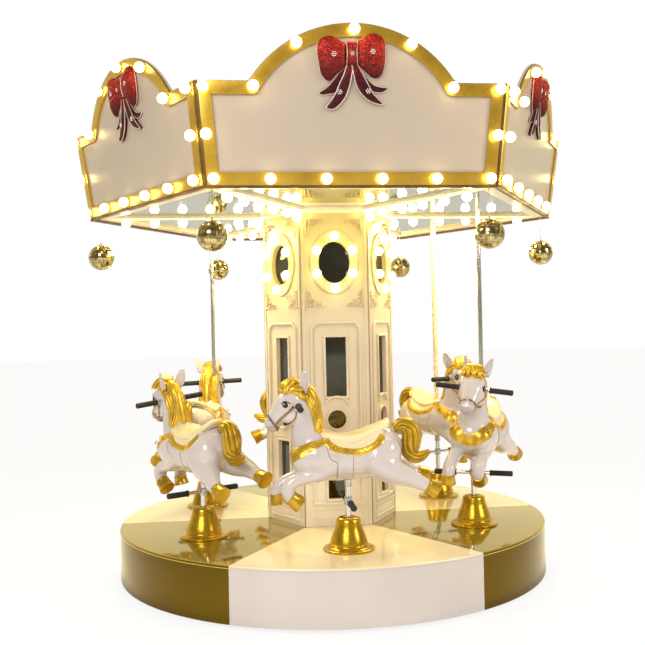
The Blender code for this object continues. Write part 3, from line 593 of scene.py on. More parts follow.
def bulbs(name, places, glass):
    """Globes and cups at places, each a matrix whose Z points away from what holds the cup."""
    piece(f"bulbs_{name}", joined([placed(globe, at) for at in places]), glass, "cream_board")
    piece(f"cups_{name}", joined([placed(cup, at) for at in places]), bright_gold, "gold_paint")


for seat in SEATS:
    spots = [(0, 0.130), (0, -0.130)] + [(x, y) for y in (0.058, -0.058) for x in (0.090, -0.090)]
    bulbs(f"column_{seat}", [round_the_axis(seat) @ shift(x, -COLUMN - 0.008, 1.583 + y)
                             @ rotated(90, "X") for x, y in spots], bulb_glass[0])


# Soffit: cream boards as a border and six ribs under a sheet of mirror. Bulbs hang along each
# rib, with one more in each corner of the column's head, and a cove bead runs round the head.
cream_board = coated("cream_board", (0.84, 0.75, 0.56), (0.77, 0.67, 0.47), 0.32, 4, 120, 0.0003,
                     {"Coat Weight": 0.2, "Coat Roughness": 0.2})
silver_mirror = clouded("silver_mirror", {"Metallic": 1.0}, (2.5, 4, 0.3, 0.7),
                        ((0.50, 0.55, 0.52), (0.42, 0.50, 0.52)), (9, 0.06, 0.02))
roof_board = coated("roof_board", (0.62, 0.53, 0.38), (0.50, 0.41, 0.28), 0.6, 8, 70, 0.0008, {})
dress("soffit_frame", cream_board)
dress("soffit_mirror", silver_mirror)
dress("roof_deck", roof_board)
for seat in SEATS:
    corner = round_the_axis(seat + 0.5)
    places = [corner @ shift(0, -r, SOFFIT) @ rotated(180, "X")
              for r in (0.470, 0.615, 0.760, 0.905, 1.050)]
    places.append(corner @ shift(0, -COLUMN_CORNER - 0.002, SOFFIT - 0.035) @ rotated(90, "X"))
    bulbs(f"rib_{seat}", places, bulb_glass[1])
line = tube([(0, -0.372, 0, 0.0016), (0, -1.160, 0, 0.0016)], 6, 1.0, 1)
piece("rib_beads", joined([placed(line, round_the_axis(seat + 0.5) @ shift(away, 0, SOFFIT - 0.0006))
                           for seat in SEATS for away in (0.0286, -0.0286)]), cream_board,
      "cream_board")
cove = sheet_of([oval(0.352, 0.352, (0, 0), 6), oval(0.3395, 0.3395, (0, 0), 6)], SOFFIT - 0.012,
                SOFFIT - 0.0003)
ease(cove, 0.004, 3, lambda e: all(v.co.z < SOFFIT - 0.01 and v.co.xy.length > 0.30 for v in e.verts))
piece("column_cove", cove, cream_board, "cream_board")


# Canopy boards: six white boards with shoulders and an arch, leaning out, each in a rounded
# gilt frame that is mitred at the corners. A thin bronze lip closes the frame underneath.
CANOPY = 1.228 * cos(SLICE / 2)
LEAN = 7.47
SHOULDER = 0.4231
ARCH_HALF = 0.430
ARCH_RISE = 0.235
ARCH_RADIUS = (ARCH_HALF ** 2 + ARCH_RISE ** 2) / (2 * ARCH_RISE)
FRAME_BAR = 0.056


def board_half(height):
    """Half a board's width on its face at a height up the slope."""
    return (CANOPY + height * sin(radians(LEAN))) * tan(SLICE / 2)


def board_outline(margin, side_margin, fillet):
    """The board's front view moved in by margin, with the corners at the arch's feet rounded."""
    shoulder = SHOULDER - margin
    radius = ARCH_RADIUS - margin
    centre = SHOULDER + ARCH_RISE - ARCH_RADIUS
    foot_y = shoulder + fillet
    foot_x = sqrt((radius + fillet) ** 2 - (foot_y - centre) ** 2)
    meet = atan2(foot_x, foot_y - centre)
    arc = [(radius * sin(a), centre + radius * cos(a)) for a in (meet * (1 - i / 24) for i in range(49))]
    foot = [(foot_x + fillet * sin(a), foot_y - fillet * cos(a))
            for a in (-i / 6 * (pi - meet) for i in range(6))]
    low, high = (board_half(y) - side_margin for y in (margin, shoulder))
    return ([(-low, margin), (low, margin), (high, shoulder)] + foot + arc
            + [(-x, y) for x, y in foot[::-1]] + [(-high, shoulder)])


def on_board(seat):
    """A seat's board, as a place whose x is across, y up the slope and z outward."""
    return round_the_axis(seat) @ shift(0, -CANOPY, SOFFIT) @ rotated(90 + LEAN, "X")


def mitre(bm):
    """Follow the corner plane where a mesh stands proud of the board's face, or lies behind it."""
    for point in bm.verts:
        if abs(point.co.x) > board_half(point.co.y) - 0.004:
            wider = point.co.z * cos(radians(LEAN)) * tan(SLICE / 2) - SEAM
            point.co.x += copysign(wider, point.co.x)
    return bm


edge_of_board = board_outline(0.0, 0.0, 0.010)
board = mitre(sheet_of([edge_of_board], -0.012, 0.0))
# Painted shade, in part: a dark strip round the board's edge, showing beside the frame, stands for the dark
# gap between neighbouring frames and for their shaded sides.
gap_and_shade_strip = mitre(sheet_of([edge_of_board, board_outline(0.004, 0.013, 0.014)], 0.0002, 0.0035))
gilt_frame = mitre(sheet_of([board_outline(0.0022, 0.0095, 0.012),
                             board_outline(FRAME_BAR, FRAME_BAR + 0.004, 0.030)], 0.0002, 0.0102))
ease(gilt_frame, 0.0075, 4, lambda e: all(v.co.z > 0.005 for v in e.verts))
lip = mitre(sheet_of([oblong(board_half(0), -0.010, 0.0)], -0.016, 0.006))
white_board = coated("white_board", (0.405, 0.345, 0.285), (0.375, 0.315, 0.260), 0.34, 1.6, 110, 0.0003,
                     {"Coat Weight": 0.15, "Coat Roughness": 0.2})
gilt_bar = clouded("gilt_bar", {"Metallic": 0.75, "Coat Weight": 0.3, "Coat Roughness": 0.15},
                   (9, 3.0, 0.3, 0.75), ((0.56, 0.36, 0.040), (0.44, 0.27, 0.026)), (60, 0.10, 0.24),
                   (20, 1, 0.1, 0.0010))
# The lip's bronze also colours that edge strip, where it is partly painted shade.
bronze_lip_and_gap_shade = coated("bronze_lip_and_gap_shade", (0.15, 0.085, 0.035), (0.11, 0.060, 0.025), 0.40, 20, 90, 0.0003,
                    {"Metallic": 0.5})
spots = [(0.116, 0.028), (0.348, 0.028), (0.579, 0.029), (0.606, 0.208), (0.615, 0.397),
         (0.413, 0.400), (0.237, 0.573)]
spots = [(0, 0.630)] + [(side * x, y) for x, y in spots for side in (-1, 1)]
for seat in SEATS:
    at = on_board(seat)
    piece(f"canopy_board_{seat}", placed(board, at), white_board, "fascia_board",
          node=f"fascia_panel_{seat}")
    piece(f"canopy_frame_{seat}", placed(gilt_frame, at), gilt_bar, "gold_paint")
    piece(f"canopy_lip_{seat}", placed(lip, at), bronze_lip_and_gap_shade, "gold_paint")
    piece(f"canopy_gap_and_shade_{seat}", placed(gap_and_shade_strip, at), bronze_lip_and_gap_shade, "fascia_board")
    bulbs(f"canopy_{seat}", [at @ shift(x, y, 0.010) for x, y in spots], bulb_glass[0])


# Bows: a large red ribbon bow on each board, of padded glitter cloth with silver piping. Two
# pleated loops and a knot lie over four forked tails, with small glass stones sewn on.
def inside(x, z, corners):
    """Whether a point lies in a closed outline."""
    hit = False
    for (ax, az), (bx, bz) in zip(corners, corners[1:] + corners[:1]):
        if (az > z) != (bz > z) and x < (bx - ax) * (z - az) / (bz - az) + ax:
            hit = not hit
    return hit


def nearest(x, z, corners):
    """How far the nearest point on a closed outline is, and where."""
    found = []
    for (ax, az), (bx, bz) in zip(corners, corners[1:] + corners[:1]):
        run = (bx - ax) ** 2 + (bz - az) ** 2
        t = min(1, max(0, ((x - ax) * (bx - ax) + (z - az) * (bz - az)) / run))
        px, pz = ax + t * (bx - ax), az + t * (bz - az)
        found.append((hypot(px - x, pz - z), px, pz))
    return min(found, key=lambda spot: spot[0])


def padded_cloth(corners, base, puff, edge, folds):
    """A padded shape inside an outline, full in the middle, with folds that fan out from the knot."""
    xs, ys = zip(*corners)
    size = max(max(xs) - min(xs), max(ys) - min(ys)) / 2 + 0.004
    bm = bmesh.new()
    bmesh.ops.create_grid(bm, x_segments=34, y_segments=34, size=size,
                          matrix=shift((max(xs) + min(xs)) / 2, (max(ys) + min(ys)) / 2, 0))
    outer = [f for f in bm.faces if not inside(*f.calc_center_median().xy, corners)]
    bmesh.ops.delete(bm, geom=outer, context="FACES")
    for point in bm.verts:
        away, x, y = nearest(*point.co.xy, corners)
        if point.is_boundary:
            point.co.x, point.co.y, away = x, y, 0
        full = min(1, away / edge)
        fan = atan2(point.co.y, abs(point.co.x) + 0.02)
        point.co.z = base + puff * sqrt(1 - (1 - full) ** 2) + folds * cos(fan * 15) * full
    rim = [e for e in bm.edges if e.is_boundary]
    raise_new(bm, bmesh.ops.extrude_edge_only(bm, edges=rim), -base + 0.0002)
    bmesh.ops.holes_fill(bm, edges=[e for e in bm.edges if e.is_boundary])
    return faced_out(bm)


def piping(corners, z, radius):
    """A silver cord round an outline."""
    return tube([(x, y, z, radius) for x, y in corners + corners[:2]], 8, 1.0, 1)


def stones(x, y, z, size):
    """A flower of cut glass stones: one in the middle and six round it."""
    flower = []
    for dx, dy in [(0, 0)] + oval(size * 2.1, size * 2.1, (0, 0), 6):
        bm = bmesh.new()
        bmesh.ops.create_icosphere(bm, subdivisions=1, radius=size,
                                   matrix=shift(x + dx, y + dy, z) @ Matrix.Diagonal((1, 1, 0.7, 1)))
        flower.append(bm)
    return flower


LEFT_LOOP = mm((-24, 38), (-47, 55), (-69, 70), (-102, 75), (-130, 62), (-143, 38), (-144, 2), (-137, -44),
               (-130, -83), (-111, -112), (-90, -117), (-64, -91), (-41, -70), (-24, -46))
RIGHT_LOOP = mm((22, 44), (42, 62), (67, 82), (97, 89), (126, 76), (141, 49), (144, 14), (143, -24),
                (137, -61), (126, -91), (106, -105), (86, -101), (64, -83), (42, -62), (22, -44))
BACK_LEFT = mm((-20, -46), (-46, -70), (-74, -110), (-106, -146), (-138, -168), (-122, -178),
               (-98, -174), (-66, -166), (-40, -120), (-16, -70))
BACK_RIGHT = mm((18, -40), (36, -58), (60, -94), (90, -128), (120, -140), (154, -145), (140, -160),
                (116, -166), (84, -156), (50, -110), (18, -64))
FRONT_LEFT = mm((-16, -44), (-34, -90), (-52, -130), (-66, -165), (-86, -200), (-108, -232), (-82, -240),
                (-54, -222), (-28, -188), (-13, -150), (-4, -112), (3, -60))
FRONT_RIGHT = mm((2, -50), (10, -100), (22, -142), (42, -174), (68, -198), (100, -213), (134, -218),
                 (110, -192), (92, -172), (74, -140), (50, -94), (22, -46))
KNOT = mm((-22, 44), (0, 50), (22, 44), (19.5, 0), (22, -44), (0, -50), (-22, -44), (-19.5, 0))
tails, loops, cords, gems = [], [], [], []
for corners, base in ((BACK_LEFT, 0.004), (BACK_RIGHT, 0.004), (FRONT_LEFT, 0.013), (FRONT_RIGHT, 0.013)):
    line = smooth_line(corners, 5, True)
    tails.append(padded_cloth(line, base, 0.005, 0.014, 0.0012))
    cords.append(piping(line, base + 0.001, 0.0025))
for corners in (LEFT_LOOP, RIGHT_LOOP):
    line = smooth_line(corners, 5, True)
    loops.append(padded_cloth(line, 0.010, 0.026, 0.045, 0.0028))
    cords.append(piping(line, 0.0075, 0.0019))
loops.append(padded_cloth(smooth_line(KNOT, 5, True), 0.020, 0.019, 0.018, 0.0))
for side in (-1, 1):
    cords.append(tube(mm((side * 22.2, 44, 23, 2.2), (side * 20, 0, 26, 2.4),
                         (side * 22.2, -44, 23, 2.2)), 8))
for place in mm((-77, -6, 37, 4.2), (86, 6, 37, 4.2), (-52, -165, 19.5, 4.2), (70, -160, 19.5, 4.2),
                (0, -4, 40, 3.4)):
    gems += stones(*place)
glitter_red, paint = new_finish("glitter_red", {"Specular IOR Level": 0.3})
flake = paint.node("ShaderNodeTexVoronoi", {}, {"Vector": place_of(paint), "Scale": 300.0}, out="Color")
speck = paint.node("ShaderNodeSeparateColor", {}, {"Color": flake}, out="Red")
# Painted light and shade: the cloth and its sequins are painted brighter over the bow's upper part and darker
# over its lower part.
lit = (height_of(paint) + noise(paint, 20) * 0.03).between(2.26, 2.43)
cloth = lit.mix((0.030, 0.0015, 0.0050), (0.19, 0.0040, 0.0030))
spark = lit.mix((0.14, 0.008, 0.018), (0.88, 0.075, 0.030))
feed(glitter_red, "Base Color", speck.between(0.60, 1.0).mix(cloth, spark))
feed(glitter_red, "Metallic", speck * 0.5 + 0.1)
feed(glitter_red, "Roughness", speck * 0.30 + 0.38)
bumpy(glitter_red, speck, 0.6, 0.0014)
silver_cord = coated("silver_cord", (0.72, 0.60, 0.52), (0.40, 0.32, 0.29), 0.30, 160, 300, 0.0005,
                     {"Metallic": 0.45})
cut_glass = clouded("cut_glass", {"Metallic": 0.6, "Coat Weight": 1.0, "Coat Roughness": 0.02},
                    (150, 3.0, 0.3, 0.7), ((0.90, 0.85, 0.84), (0.70, 0.55, 0.55)), (90, 0.10, 0.06))
hung_at = shift(-0.0090, 0.534, 0.0) @ Matrix.Diagonal((0.98, 0.934, 1.0, 1.0))
for seat in SEATS:
    for name, parts, finish, slot in (("tails", tails, glitter_red, "fascia_board"),
                                      ("loops", loops, glitter_red, "fascia_board"),
                                      ("piping", cords, silver_cord, "fascia_board"),
                                      ("stones", gems, cut_glass, "mirror_ball")):
        piece(f"bow_{name}_{seat}", moved(joined(parts), on_board(seat) @ hung_at), finish, slot,
              crease=50)


# Mirror balls: six polystyrene balls tiled with small square mirrors, each hung by a taut wire
# from a canopy corner, with a cap at the top.
BALL = 0.064
BALL_CIRCLE = 1.180


def place_key(part):
    """Sorts faces or corners by place, as a new sphere's own order changes from run to run."""
    at = part.co if isinstance(part, bmesh.types.BMVert) else part.calc_center_median()
    return [round(value, 5) for value in at]


ball = bmesh.new()
bmesh.ops.create_uvsphere(ball, u_segments=30, v_segments=17, radius=BALL)
bmesh.ops.inset_individual(ball, faces=ball.faces[:], thickness=0.0007, depth=0.0009)
shake = random.Random(4)
tiles = [f for f in ball.faces if len(f.verts) == 4 and f.calc_area() > 0.00004]
for tile in sorted(tiles, key=place_key):
    push = Vector([shake.uniform(-0.00025, 0.00025) for _ in range(3)])
    for corner in sorted(tile.verts, key=place_key):
        corner.co += push * shake.random()
wire = tube([(0, 0, BALL - 0.001, 0.0013), (0, 0, 0.1995, 0.0013)], 6, 1.0, 1)
cap = turned([(r, BALL + up) for r, up in mm((0, -4), (12, -3), (12, 2), (6, 5), (4, 11), (0, 12))], 16)
# Painted reflection: the mirror tiles are tinted gold, for the warm-lit gilt and bulbs they mirror; their
# clouding from tile to tile is random.
ball_mirror = clouded("ball_mirror", {"Metallic": 1.0}, (45, 1, 0.35, 0.65),
                      ((0.66, 0.56, 0.27), (0.30, 0.26, 0.14)), (30, 0.08, 0.02))
dull_steel = coated("dull_steel", (0.52, 0.52, 0.52), (0.42, 0.42, 0.43), 0.24, 12, 160, 0.0003,
                    {"Metallic": 1.0})
for seat in SEATS:
    at = round_the_axis(seat + 0.5) @ shift(0, -BALL_CIRCLE, SOFFIT - 0.200)
    piece(f"ball_tiles_{seat}", placed(ball, at), ball_mirror, "mirror_ball", crease=10,
          node=f"mirror_ball_{seat}")
    piece(f"ball_wire_{seat}", placed(joined([wire, cap]), at), dull_steel, "plated_steel")


# Pony shells: six alike, moulded in white fibreglass in one piece from nose to hocks, glossy,
# with a pink blush sprayed on the muzzle. Each is set on its own post with its own turn and lean.
HEADING = {1: 0.0, 2: 3.0, 3: -6.0, 4: 0.0, 5: 14.0, 6: 4.0}
LEAN_OUT = {1: 2.0, 2: 6.5, 3: 0.0, 4: 2.0, 5: 3.0, 6: 5.5}
SET_OUT = {1: 0.0, 2: 0.018, 3: 0.0, 4: 0.0, 5: 0.016, 6: 0.018}
LIFT = {1: 0.0, 2: 0.038, 3: 0.041, 4: 0.045, 5: 0.036, 6: 0.0}
BODY_AHEAD = {1: 0.010}
BELLY = 0.310
VOXEL = 0.0062


def pony_post(seat):
    """The pony's own frame, upright on its post: x forward, y outward, z above the deck."""
    return post_place(seat) @ shift(0, 0, LIFT[seat]) @ rotated(180 + HEADING[seat], "Z")


def pony_lean(seat):
    """How the pony leans outward about its belly, a little out and ahead of its post."""
    return (shift(BODY_AHEAD.get(seat, 0), SET_OUT[seat], BELLY) @ rotated(-LEAN_OUT[seat], "X")
            @ shift(0, 0, -BELLY))


def pony_place(seat):
    return pony_post(seat) @ pony_lean(seat)


def body_form(rows, sides, wide):
    """A tapering form through rows of millimetres, stretched sideways."""
    return moved(tube(mm(*rows), sides), Matrix.Diagonal((1, wide, 1, 1)))


def lump(at, radius, stretch, fineness=3):
    """A rounded swelling."""
    bm = bmesh.new()
    bmesh.ops.create_icosphere(bm, subdivisions=fineness, radius=radius,
                               matrix=Matrix.Translation(at) @ Matrix.Diagonal((*stretch, 1)))
    return bm


def lump_pair(x, y, z, radius, stretch):
    """Two swellings in millimetres, one on each side."""
    return [lump(*mm((x, side * y, z)), radius / 1000, stretch) for side in (1, -1)]


def faired(forms, passes):
    """One skin over overlapping forms, smoothed as a moulder fairs a plug."""
    mesh = bpy.data.meshes.new("plug")
    joined(forms).to_mesh(mesh)
    plug = new_object("plug", mesh)
    skin = plug.modifiers.new("skin", "REMESH")
    skin.mode = "VOXEL"
    skin.voxel_size = VOXEL
    fair = plug.modifiers.new("fair", "SMOOTH")
    fair.factor = 0.5
    fair.iterations = passes
    graph = bpy.context.evaluated_depsgraph_get()
    graph.update()
    shape = bpy.data.meshes.new_from_object(plug.evaluated_get(graph), depsgraph=graph)
    bm = bmesh.new()
    bm.from_mesh(shape)
    bpy.data.objects.remove(plug)
    for used in (shape, mesh):
        bpy.data.meshes.remove(used)
    return bm


torso = [
    body_form([(240, 0, 430, 20), (212, 0, 430, 72), (145, 0, 425, 106), (60, 0, 415, 104),
               (-40, 0, 412, 100), (-140, 0, 436, 110), (-208, 0, 455, 86), (-256, 0, 455, 22)], 24, 1.10),
    *lump_pair(182, 50, 418, 62, (1.0, 0.9, 1.05)),
    *lump_pair(-165, 52, 435, 82, (1.0, 0.9, 1.05)),
]
neck = body_form([(126, 0, 440, 104), (166, 0, 520, 76), (178, 0, 590, 62), (189, 0, 650, 57),
                  (200, 0, 700, 42)], 20, 0.92)
head = [
    body_form([(194, 0, 716, 18), (222, 0, 692, 48), (259, 0, 652, 57), (298, 0, 607, 42),
               (325, 0, 574, 34), (346, 0, 551, 16)], 20, 1.08),
    *lump_pair(246, 30, 619, 47, (1.05, 0.8, 1.0)),
    *lump_pair(270, 44, 684, 20, (1.3, 0.8, 0.8)),
    *lump_pair(338, 20, 575, 21, (1.0, 0.9, 1.1)),
    lump((0.320, 0, 0.555), 0.026, (1.2, 1.1, 0.8)),
]
legs = [tube(mm(*rows), 16) for rows in (
    [(85, 52, 385, 62), (135, 60, 354, 42), (184, 67, 339, 31), (232, 69, 327, 30), (260, 67, 300, 33),
     (262, 66, 276, 31), (254, 66, 253, 28), (243, 66, 242, 26)],
    [(105, -50, 385, 62), (165, -58, 350, 40), (225, -64, 318, 31), (268, -67, 297, 31),
     (296, -67, 271, 31), (304, -66, 246, 29), (302, -66, 232, 27)],
    [(-130, 46, 412, 90), (-200, 80, 358, 62), (-268, 108, 332, 43), (-322, 126, 306, 32),
     (-348, 131, 296, 29), (-360, 131, 292, 27)],
    [(-130, -46, 412, 90), (-200, -74, 360, 62), (-270, -92, 338, 43), (-325, -100, 316, 32),
     (-350, -102, 308, 29), (-362, -102, 305, 27)])]
shell = faired([*torso, neck, *head, *legs], 9)
shell_tree = BVHTree.FromBMesh(shell)
glossy_shell, paint = new_finish("glossy_shell", {"Coat Weight": 0.7, "Coat Roughness": 0.04},
                                 (20, 0.08, 0.12), (26, 2, 0.15, 0.002))
own = paint.node("ShaderNodeAttribute", {"attribute_name": "own"}, {}, out="Vector")
from_nose = paint.node("ShaderNodeVectorMath", {"operation": "DISTANCE"}, {0: own, 1: (0.338, 0, 0.556)},
                       out="Value")
blush = (from_nose + noise(paint, 30) * 0.02).between(0.085, 0.03)
white = noise(paint, 5, 4).between(0.45, 0.8).mix((0.520, 0.475, 0.480), (0.470, 0.430, 0.438))
feed(glossy_shell, "Base Color", blush.mix(white, (0.39, 0.335, 0.37)))


def on_ponies(name, parts, finish, slot, crease, node=None):
    """The same piece on each pony, with its own coordinates kept as an attribute."""
    bm = joined(parts)
    own_place = bm.verts.layers.float_vector.new("own")
    for point in bm.verts:
        point[own_place] = point.co
    for seat in SEATS:
        piece(f"pony_{seat}_{name}", placed(bm, pony_place(seat)), finish, slot, f"horse_{seat}", crease,
              node and node.format(seat))


on_ponies("shell", [shell], glossy_shell, "horse_shell", 180, "horse_{}_body")


# Ears: two thin leaf-shaped cups in the shell's white, open to the side and front.
def ear(side):
    bm = bmesh.new()
    bmesh.ops.create_grid(bm, x_segments=12, y_segments=18, size=1)
    root = Vector((0.191, 0.044 * side, 0.716))
    rise = Vector((-0.022, 0.021 * side, 0.083))
    opening = Vector((0.62, 0.78 * side, 0.10)).normalized()
    across = rise.normalized().cross(opening).normalized()
    for point in bm.verts:
        u, v = point.co.x, (point.co.y + 1) / 2
        wide = 0.0215 * sin(pi * (0.26 + 0.71 * v)) ** 0.80
        deep = 0.018 * (1 - 0.7 * v) * (1 - u * u)
        point.co = root + rise * v + across * (u * wide) + opening * (0.004 - deep)
    return thickened(faced_out(bm), 0.0045)


on_ponies("ears", [ear(1), ear(-1)], glossy_shell, "horse_shell", 180)


# Saddle and harness: moulded with the shell and masked off in the spray shop. A cream seat with
# rolled ends, a gold band under it, a gold breast collar, a white girth and a bronze bridle.
def raised_patch(surface, corners, lift, thick, dip=0.0):
    """The part of a skin inside a side-view outline, raised off it and given a thickness.

    With a dip, the outline falls to a point on the chest, dip times as steep as it is wide.
    """
    bm = surface.copy()
    falls = {point: dip * abs(point.co.y) * min(1, max(0, (point.co.x - 0.19) / 0.05)) for point in bm.verts}
    for point, fall in falls.items():
        point.co.z -= fall
    outside = [f for f in bm.faces if not inside(*f.calc_center_median().xz, corners)]
    bmesh.ops.delete(bm, geom=outside, context="FACES")
    for point in bm.verts:
        if point.is_boundary:
            away, x, z = nearest(*point.co.xz, corners)
            if away < (0.009 if dip else 0.006):
                point.co.x, point.co.z = x, z
    for point in bm.verts:
        point.co.z += falls[point]
    bm.normal_update()
    for point in bm.verts:
        point.co += point.normal * lift
    return thickened(bm, thick)


def skin_point(x, z, side, surface=shell_tree):
    """Where a side-view point falls on the skin, seen from one side, and the way it faces."""
    return surface.ray_cast(Vector((x, side * 0.5, z)), Vector((0, -side, 0)))[:2]


def strap(rows, width, proud, side, tapered=False, surface=shell_tree):
    """A band laid on the skin along a side-view line in millimetres, rounded across its width."""
    points = mm(*rows)
    run = smooth_line(points)
    bm = bmesh.new()
    bmesh.ops.create_grid(bm, x_segments=len(run) - 1, y_segments=6, size=1)
    last = (Vector((points[0][0], side * 0.03, points[0][1])), Vector((0, side, 0)))
    for point in sorted(bm.verts, key=lambda v: (round(v.co.x, 4), round(v.co.y, 4))):
        t = point.co.y
        i = round((point.co.x + 1) / 2 * (len(run) - 1))
        ahead = heading(run, i).normalized()
        half = width / 2
        if tapered:
            half *= max(0.25, sin(pi * (0.12 + 0.76 * i / (len(run) - 1))) ** 0.6)
        x, z = run[i].x - ahead.y * half * t, run[i].y + ahead.x * half * t
        hit, normal = skin_point(x, z, side, surface)
        if hit is None:
            hit, normal = Vector((x, last[0].y, z)), last[1]
        last = (hit, normal)
        point.co = hit + normal * (proud * (1 - t * t) ** 0.25 - 0.0006)
    faced_out(bm)
    if sum(f.normal.y * side for f in bm.faces) < 0:
        bmesh.ops.reverse_faces(bm, faces=bm.faces[:])
    return thickened(bm, 0.0025)


def facing(direction):
    """A turn that points Z along a direction."""
    return direction.to_track_quat("Z", "Y").to_matrix().to_4x4()


TRIM_LINE = [(94, 510), (76, 484), (46, 465), (10, 455), (-41, 451), (-85.5, 462), (-125.5, 483), (-156, 516)]
SADDLE = mm((130, 560), (118, 524), (100, 512), *TRIM_LINE[1:], (-172, 532), (-205, 560), (-205, 600),
            (130, 600))
COLLAR = mm((84, 514), (101, 508), (182.5, 489), (222, 446), (254, 414), (320, 412), (320, 346),
            (247, 350), (218, 392), (182.5, 449), (114.5, 481), (84, 492))
seat_top = body_form([(120, 0, 526, 12), (92, 0, 516, 17), (35, 0, 500, 18), (-40, 0, 501, 19),
                      (-115, 0, 525, 18), (-163, 0, 550, 14.5), (-186, 0, 564, 10.5)], 20, 4.7)
saddle_skin = faired([*torso, seat_top], 8)
saddle_tree = BVHTree.FromBMesh(saddle_skin)
rolls = [tube(mm(*rows), 12) for rows in (
    [(-166, -68, 536, 6), (-181, -50, 556, 10.5), (-189, 0, 569, 12.5), (-181, 50, 556, 10.5),
     (-166, 68, 536, 6)],
    [(104, -68, 508, 3), (114, -40, 528, 6.5), (118, 0, 537, 8), (114, 40, 528, 6.5), (104, 68, 508, 3)])]
saddle_cream = clouded("saddle_cream", {"Coat Weight": 0.5, "Coat Roughness": 0.1}, (8, 3.0, 0.3, 0.75),
                       ((0.72, 0.62, 0.395), (0.68, 0.575, 0.345)), (22, 0.10, 0.18), (34, 3.0, 0.1, 0.0008))
on_ponies("saddle", [raised_patch(saddle_skin, SADDLE, 0.0030, 0.006), *rolls], saddle_cream,
          "horse_shell", 60)

gilding = coated("gilding", (0.72, 0.465, 0.045), (0.50, 0.31, 0.022), 0.30, 18, 30, 0.0001,
                 {"Metallic": 0.72, "Coat Weight": 0.2, "Coat Roughness": 0.22})
gilt = [raised_patch(faired([*torso, neck], 9), COLLAR, 0.0034, 0.005, 0.62)]
leaf = lump((0, 0, 0), 0.0070, (1.2, 0.40, 0.52), 2)
for side in (1, -1):
    gilt.append(strap(TRIM_LINE, 0.033, 0.0048, side, False, saddle_tree))
    for i, spot in enumerate(smooth_line(mm(*TRIM_LINE[1:-1]), 4)):
        hit, normal = skin_point(spot.x, spot.y + 0.0035 * (-1) ** i, side, saddle_tree)
        gilt.append(placed(leaf, Matrix.Translation(hit + normal * 0.0046) @ rotated(50 * (-1) ** i, "Y")))
    for x, z, wide in ((0.150, 0.480, 0.0110), (0.213, 0.450, 0.0100)):
        hit, normal = skin_point(x, z, side)
        stud = turned([(0.0, 0.0036), (0.0028, 0.0030), (0.0038, 0.0008), (wide - 0.0050, 0.0008),
                       (wide - 0.0040, 0.0040), (wide - 0.0022, 0.0052), (wide - 0.0006, 0.0036),
                       (wide, -0.002), (0.0, -0.002)], 24)
        gilt.append(placed(stud, Matrix.Translation(hit + normal * 0.0105) @ facing(normal)))
on_ponies("gilt_harness", gilt, gilding, "gold_paint", 50)

girth = [raised_patch(shell, mm((-21, 290), (43.6, 290), (43.6, 452), (-21, 448)), 0.0018, 0.004)]
lines = []
bridle = [raised_patch(shell, mm((351, 617), (338, 612), (296, 556), (290, 530), (302, 526), (309, 553)),
                       0.0024, 0.004)]
for side in (1, -1):
    girth.append(strap([(-28, 401), (-75, 399), (-117, 412), (-161, 440)], 0.006, 0.0016, side))
    lines.append(strap([(98, 515), (91, 472), (84, 441), (72.5, 421), (49, 406.6), (46.8, 370), (48, 322)],
                       0.0034, 0.0017, side))
    lines.append(strap([(-23.5, 432), (-23.5, 380), (-23.5, 322)], 0.0022, 0.0014, side))
    bridle.append(strap([(309, 573), (285, 599), (258, 625), (230, 651)], 0.0125, 0.0036, side))
    bridle.append(strap([(219, 634), (222, 607), (236, 588), (260, 572)], 0.0085, 0.0030, side))
brown_line = coated("brown_line", (0.19, 0.14, 0.12), (0.26, 0.20, 0.18), 0.35, 30, 120, 0.0002, {})
bronze_paint = coated("bronze_paint", (0.30, 0.20, 0.075), (0.20, 0.13, 0.05), 0.28, 25, 110, 0.0004,
                      {"Metallic": 0.7, "Coat Weight": 0.3, "Coat Roughness": 0.1})
on_ponies("girth", girth, glossy_shell, "horse_shell", 50)
on_ponies("girth_lines", lines, brown_line, "horse_shell", 60)
on_ponies("bridle", bridle, bronze_paint, "gold_paint", 50)


# Eyes: glossy black almonds with a white glint as a painted highlight, and painted lids, brows,
# nostrils and mouth.
eyes, glints, drawn = [], [], []
for side in (1, -1):
    hit, normal = skin_point(0.2680, 0.6590, side)
    eyes.append(moved(lump((0, 0, 0), 0.0130, (1.05, 0.50, 1.05)), Matrix.Translation(hit - normal * 0.0016)
                      @ rotated(-22 * side, "Z") @ rotated(12, "Y")))
    # Painted highlight: a small white lump on each eye stands for the glint of light.
    glints.append(lump(hit + normal * 0.0032 + Vector((0.0035, 0, 0.0040)), 0.0022, (1.2, 0.5, 0.9)))
    for rows, width, proud in (([(285, 664), (278, 671.5), (268, 674.5), (256, 671.5), (247, 666),
                                 (241, 667)], 0.0056, 0.0020),
                               ([(279, 680), (268, 683), (256, 680)], 0.0016, 0.0008),
                               ([(340, 585), (336, 591), (330, 589)], 0.0042, 0.0012),
                               ([(340, 564), (329, 560), (314, 561)], 0.0020, 0.0010)):
        drawn.append(strap(rows, width, proud, side, True))
eye_black = clouded("eye_black", {"Coat Weight": 0.15, "Coat Roughness": 0.02, "Specular IOR Level": 0.2},
                    (80, 3.0, 0.4, 0.7), ((0.012, 0.010, 0.010), (0.045, 0.030, 0.022)), (50, 0.05, 0.05))
glint_white = coated("glint_white", (0.90, 0.90, 0.92), (0.82, 0.82, 0.85), 0.2, 40, 90, 0.0001, {})
on_ponies("eyes", eyes + drawn, eye_black, "horse_shell", 180)
on_ponies("eye_glints", glints, glint_white, "horse_shell", 180)


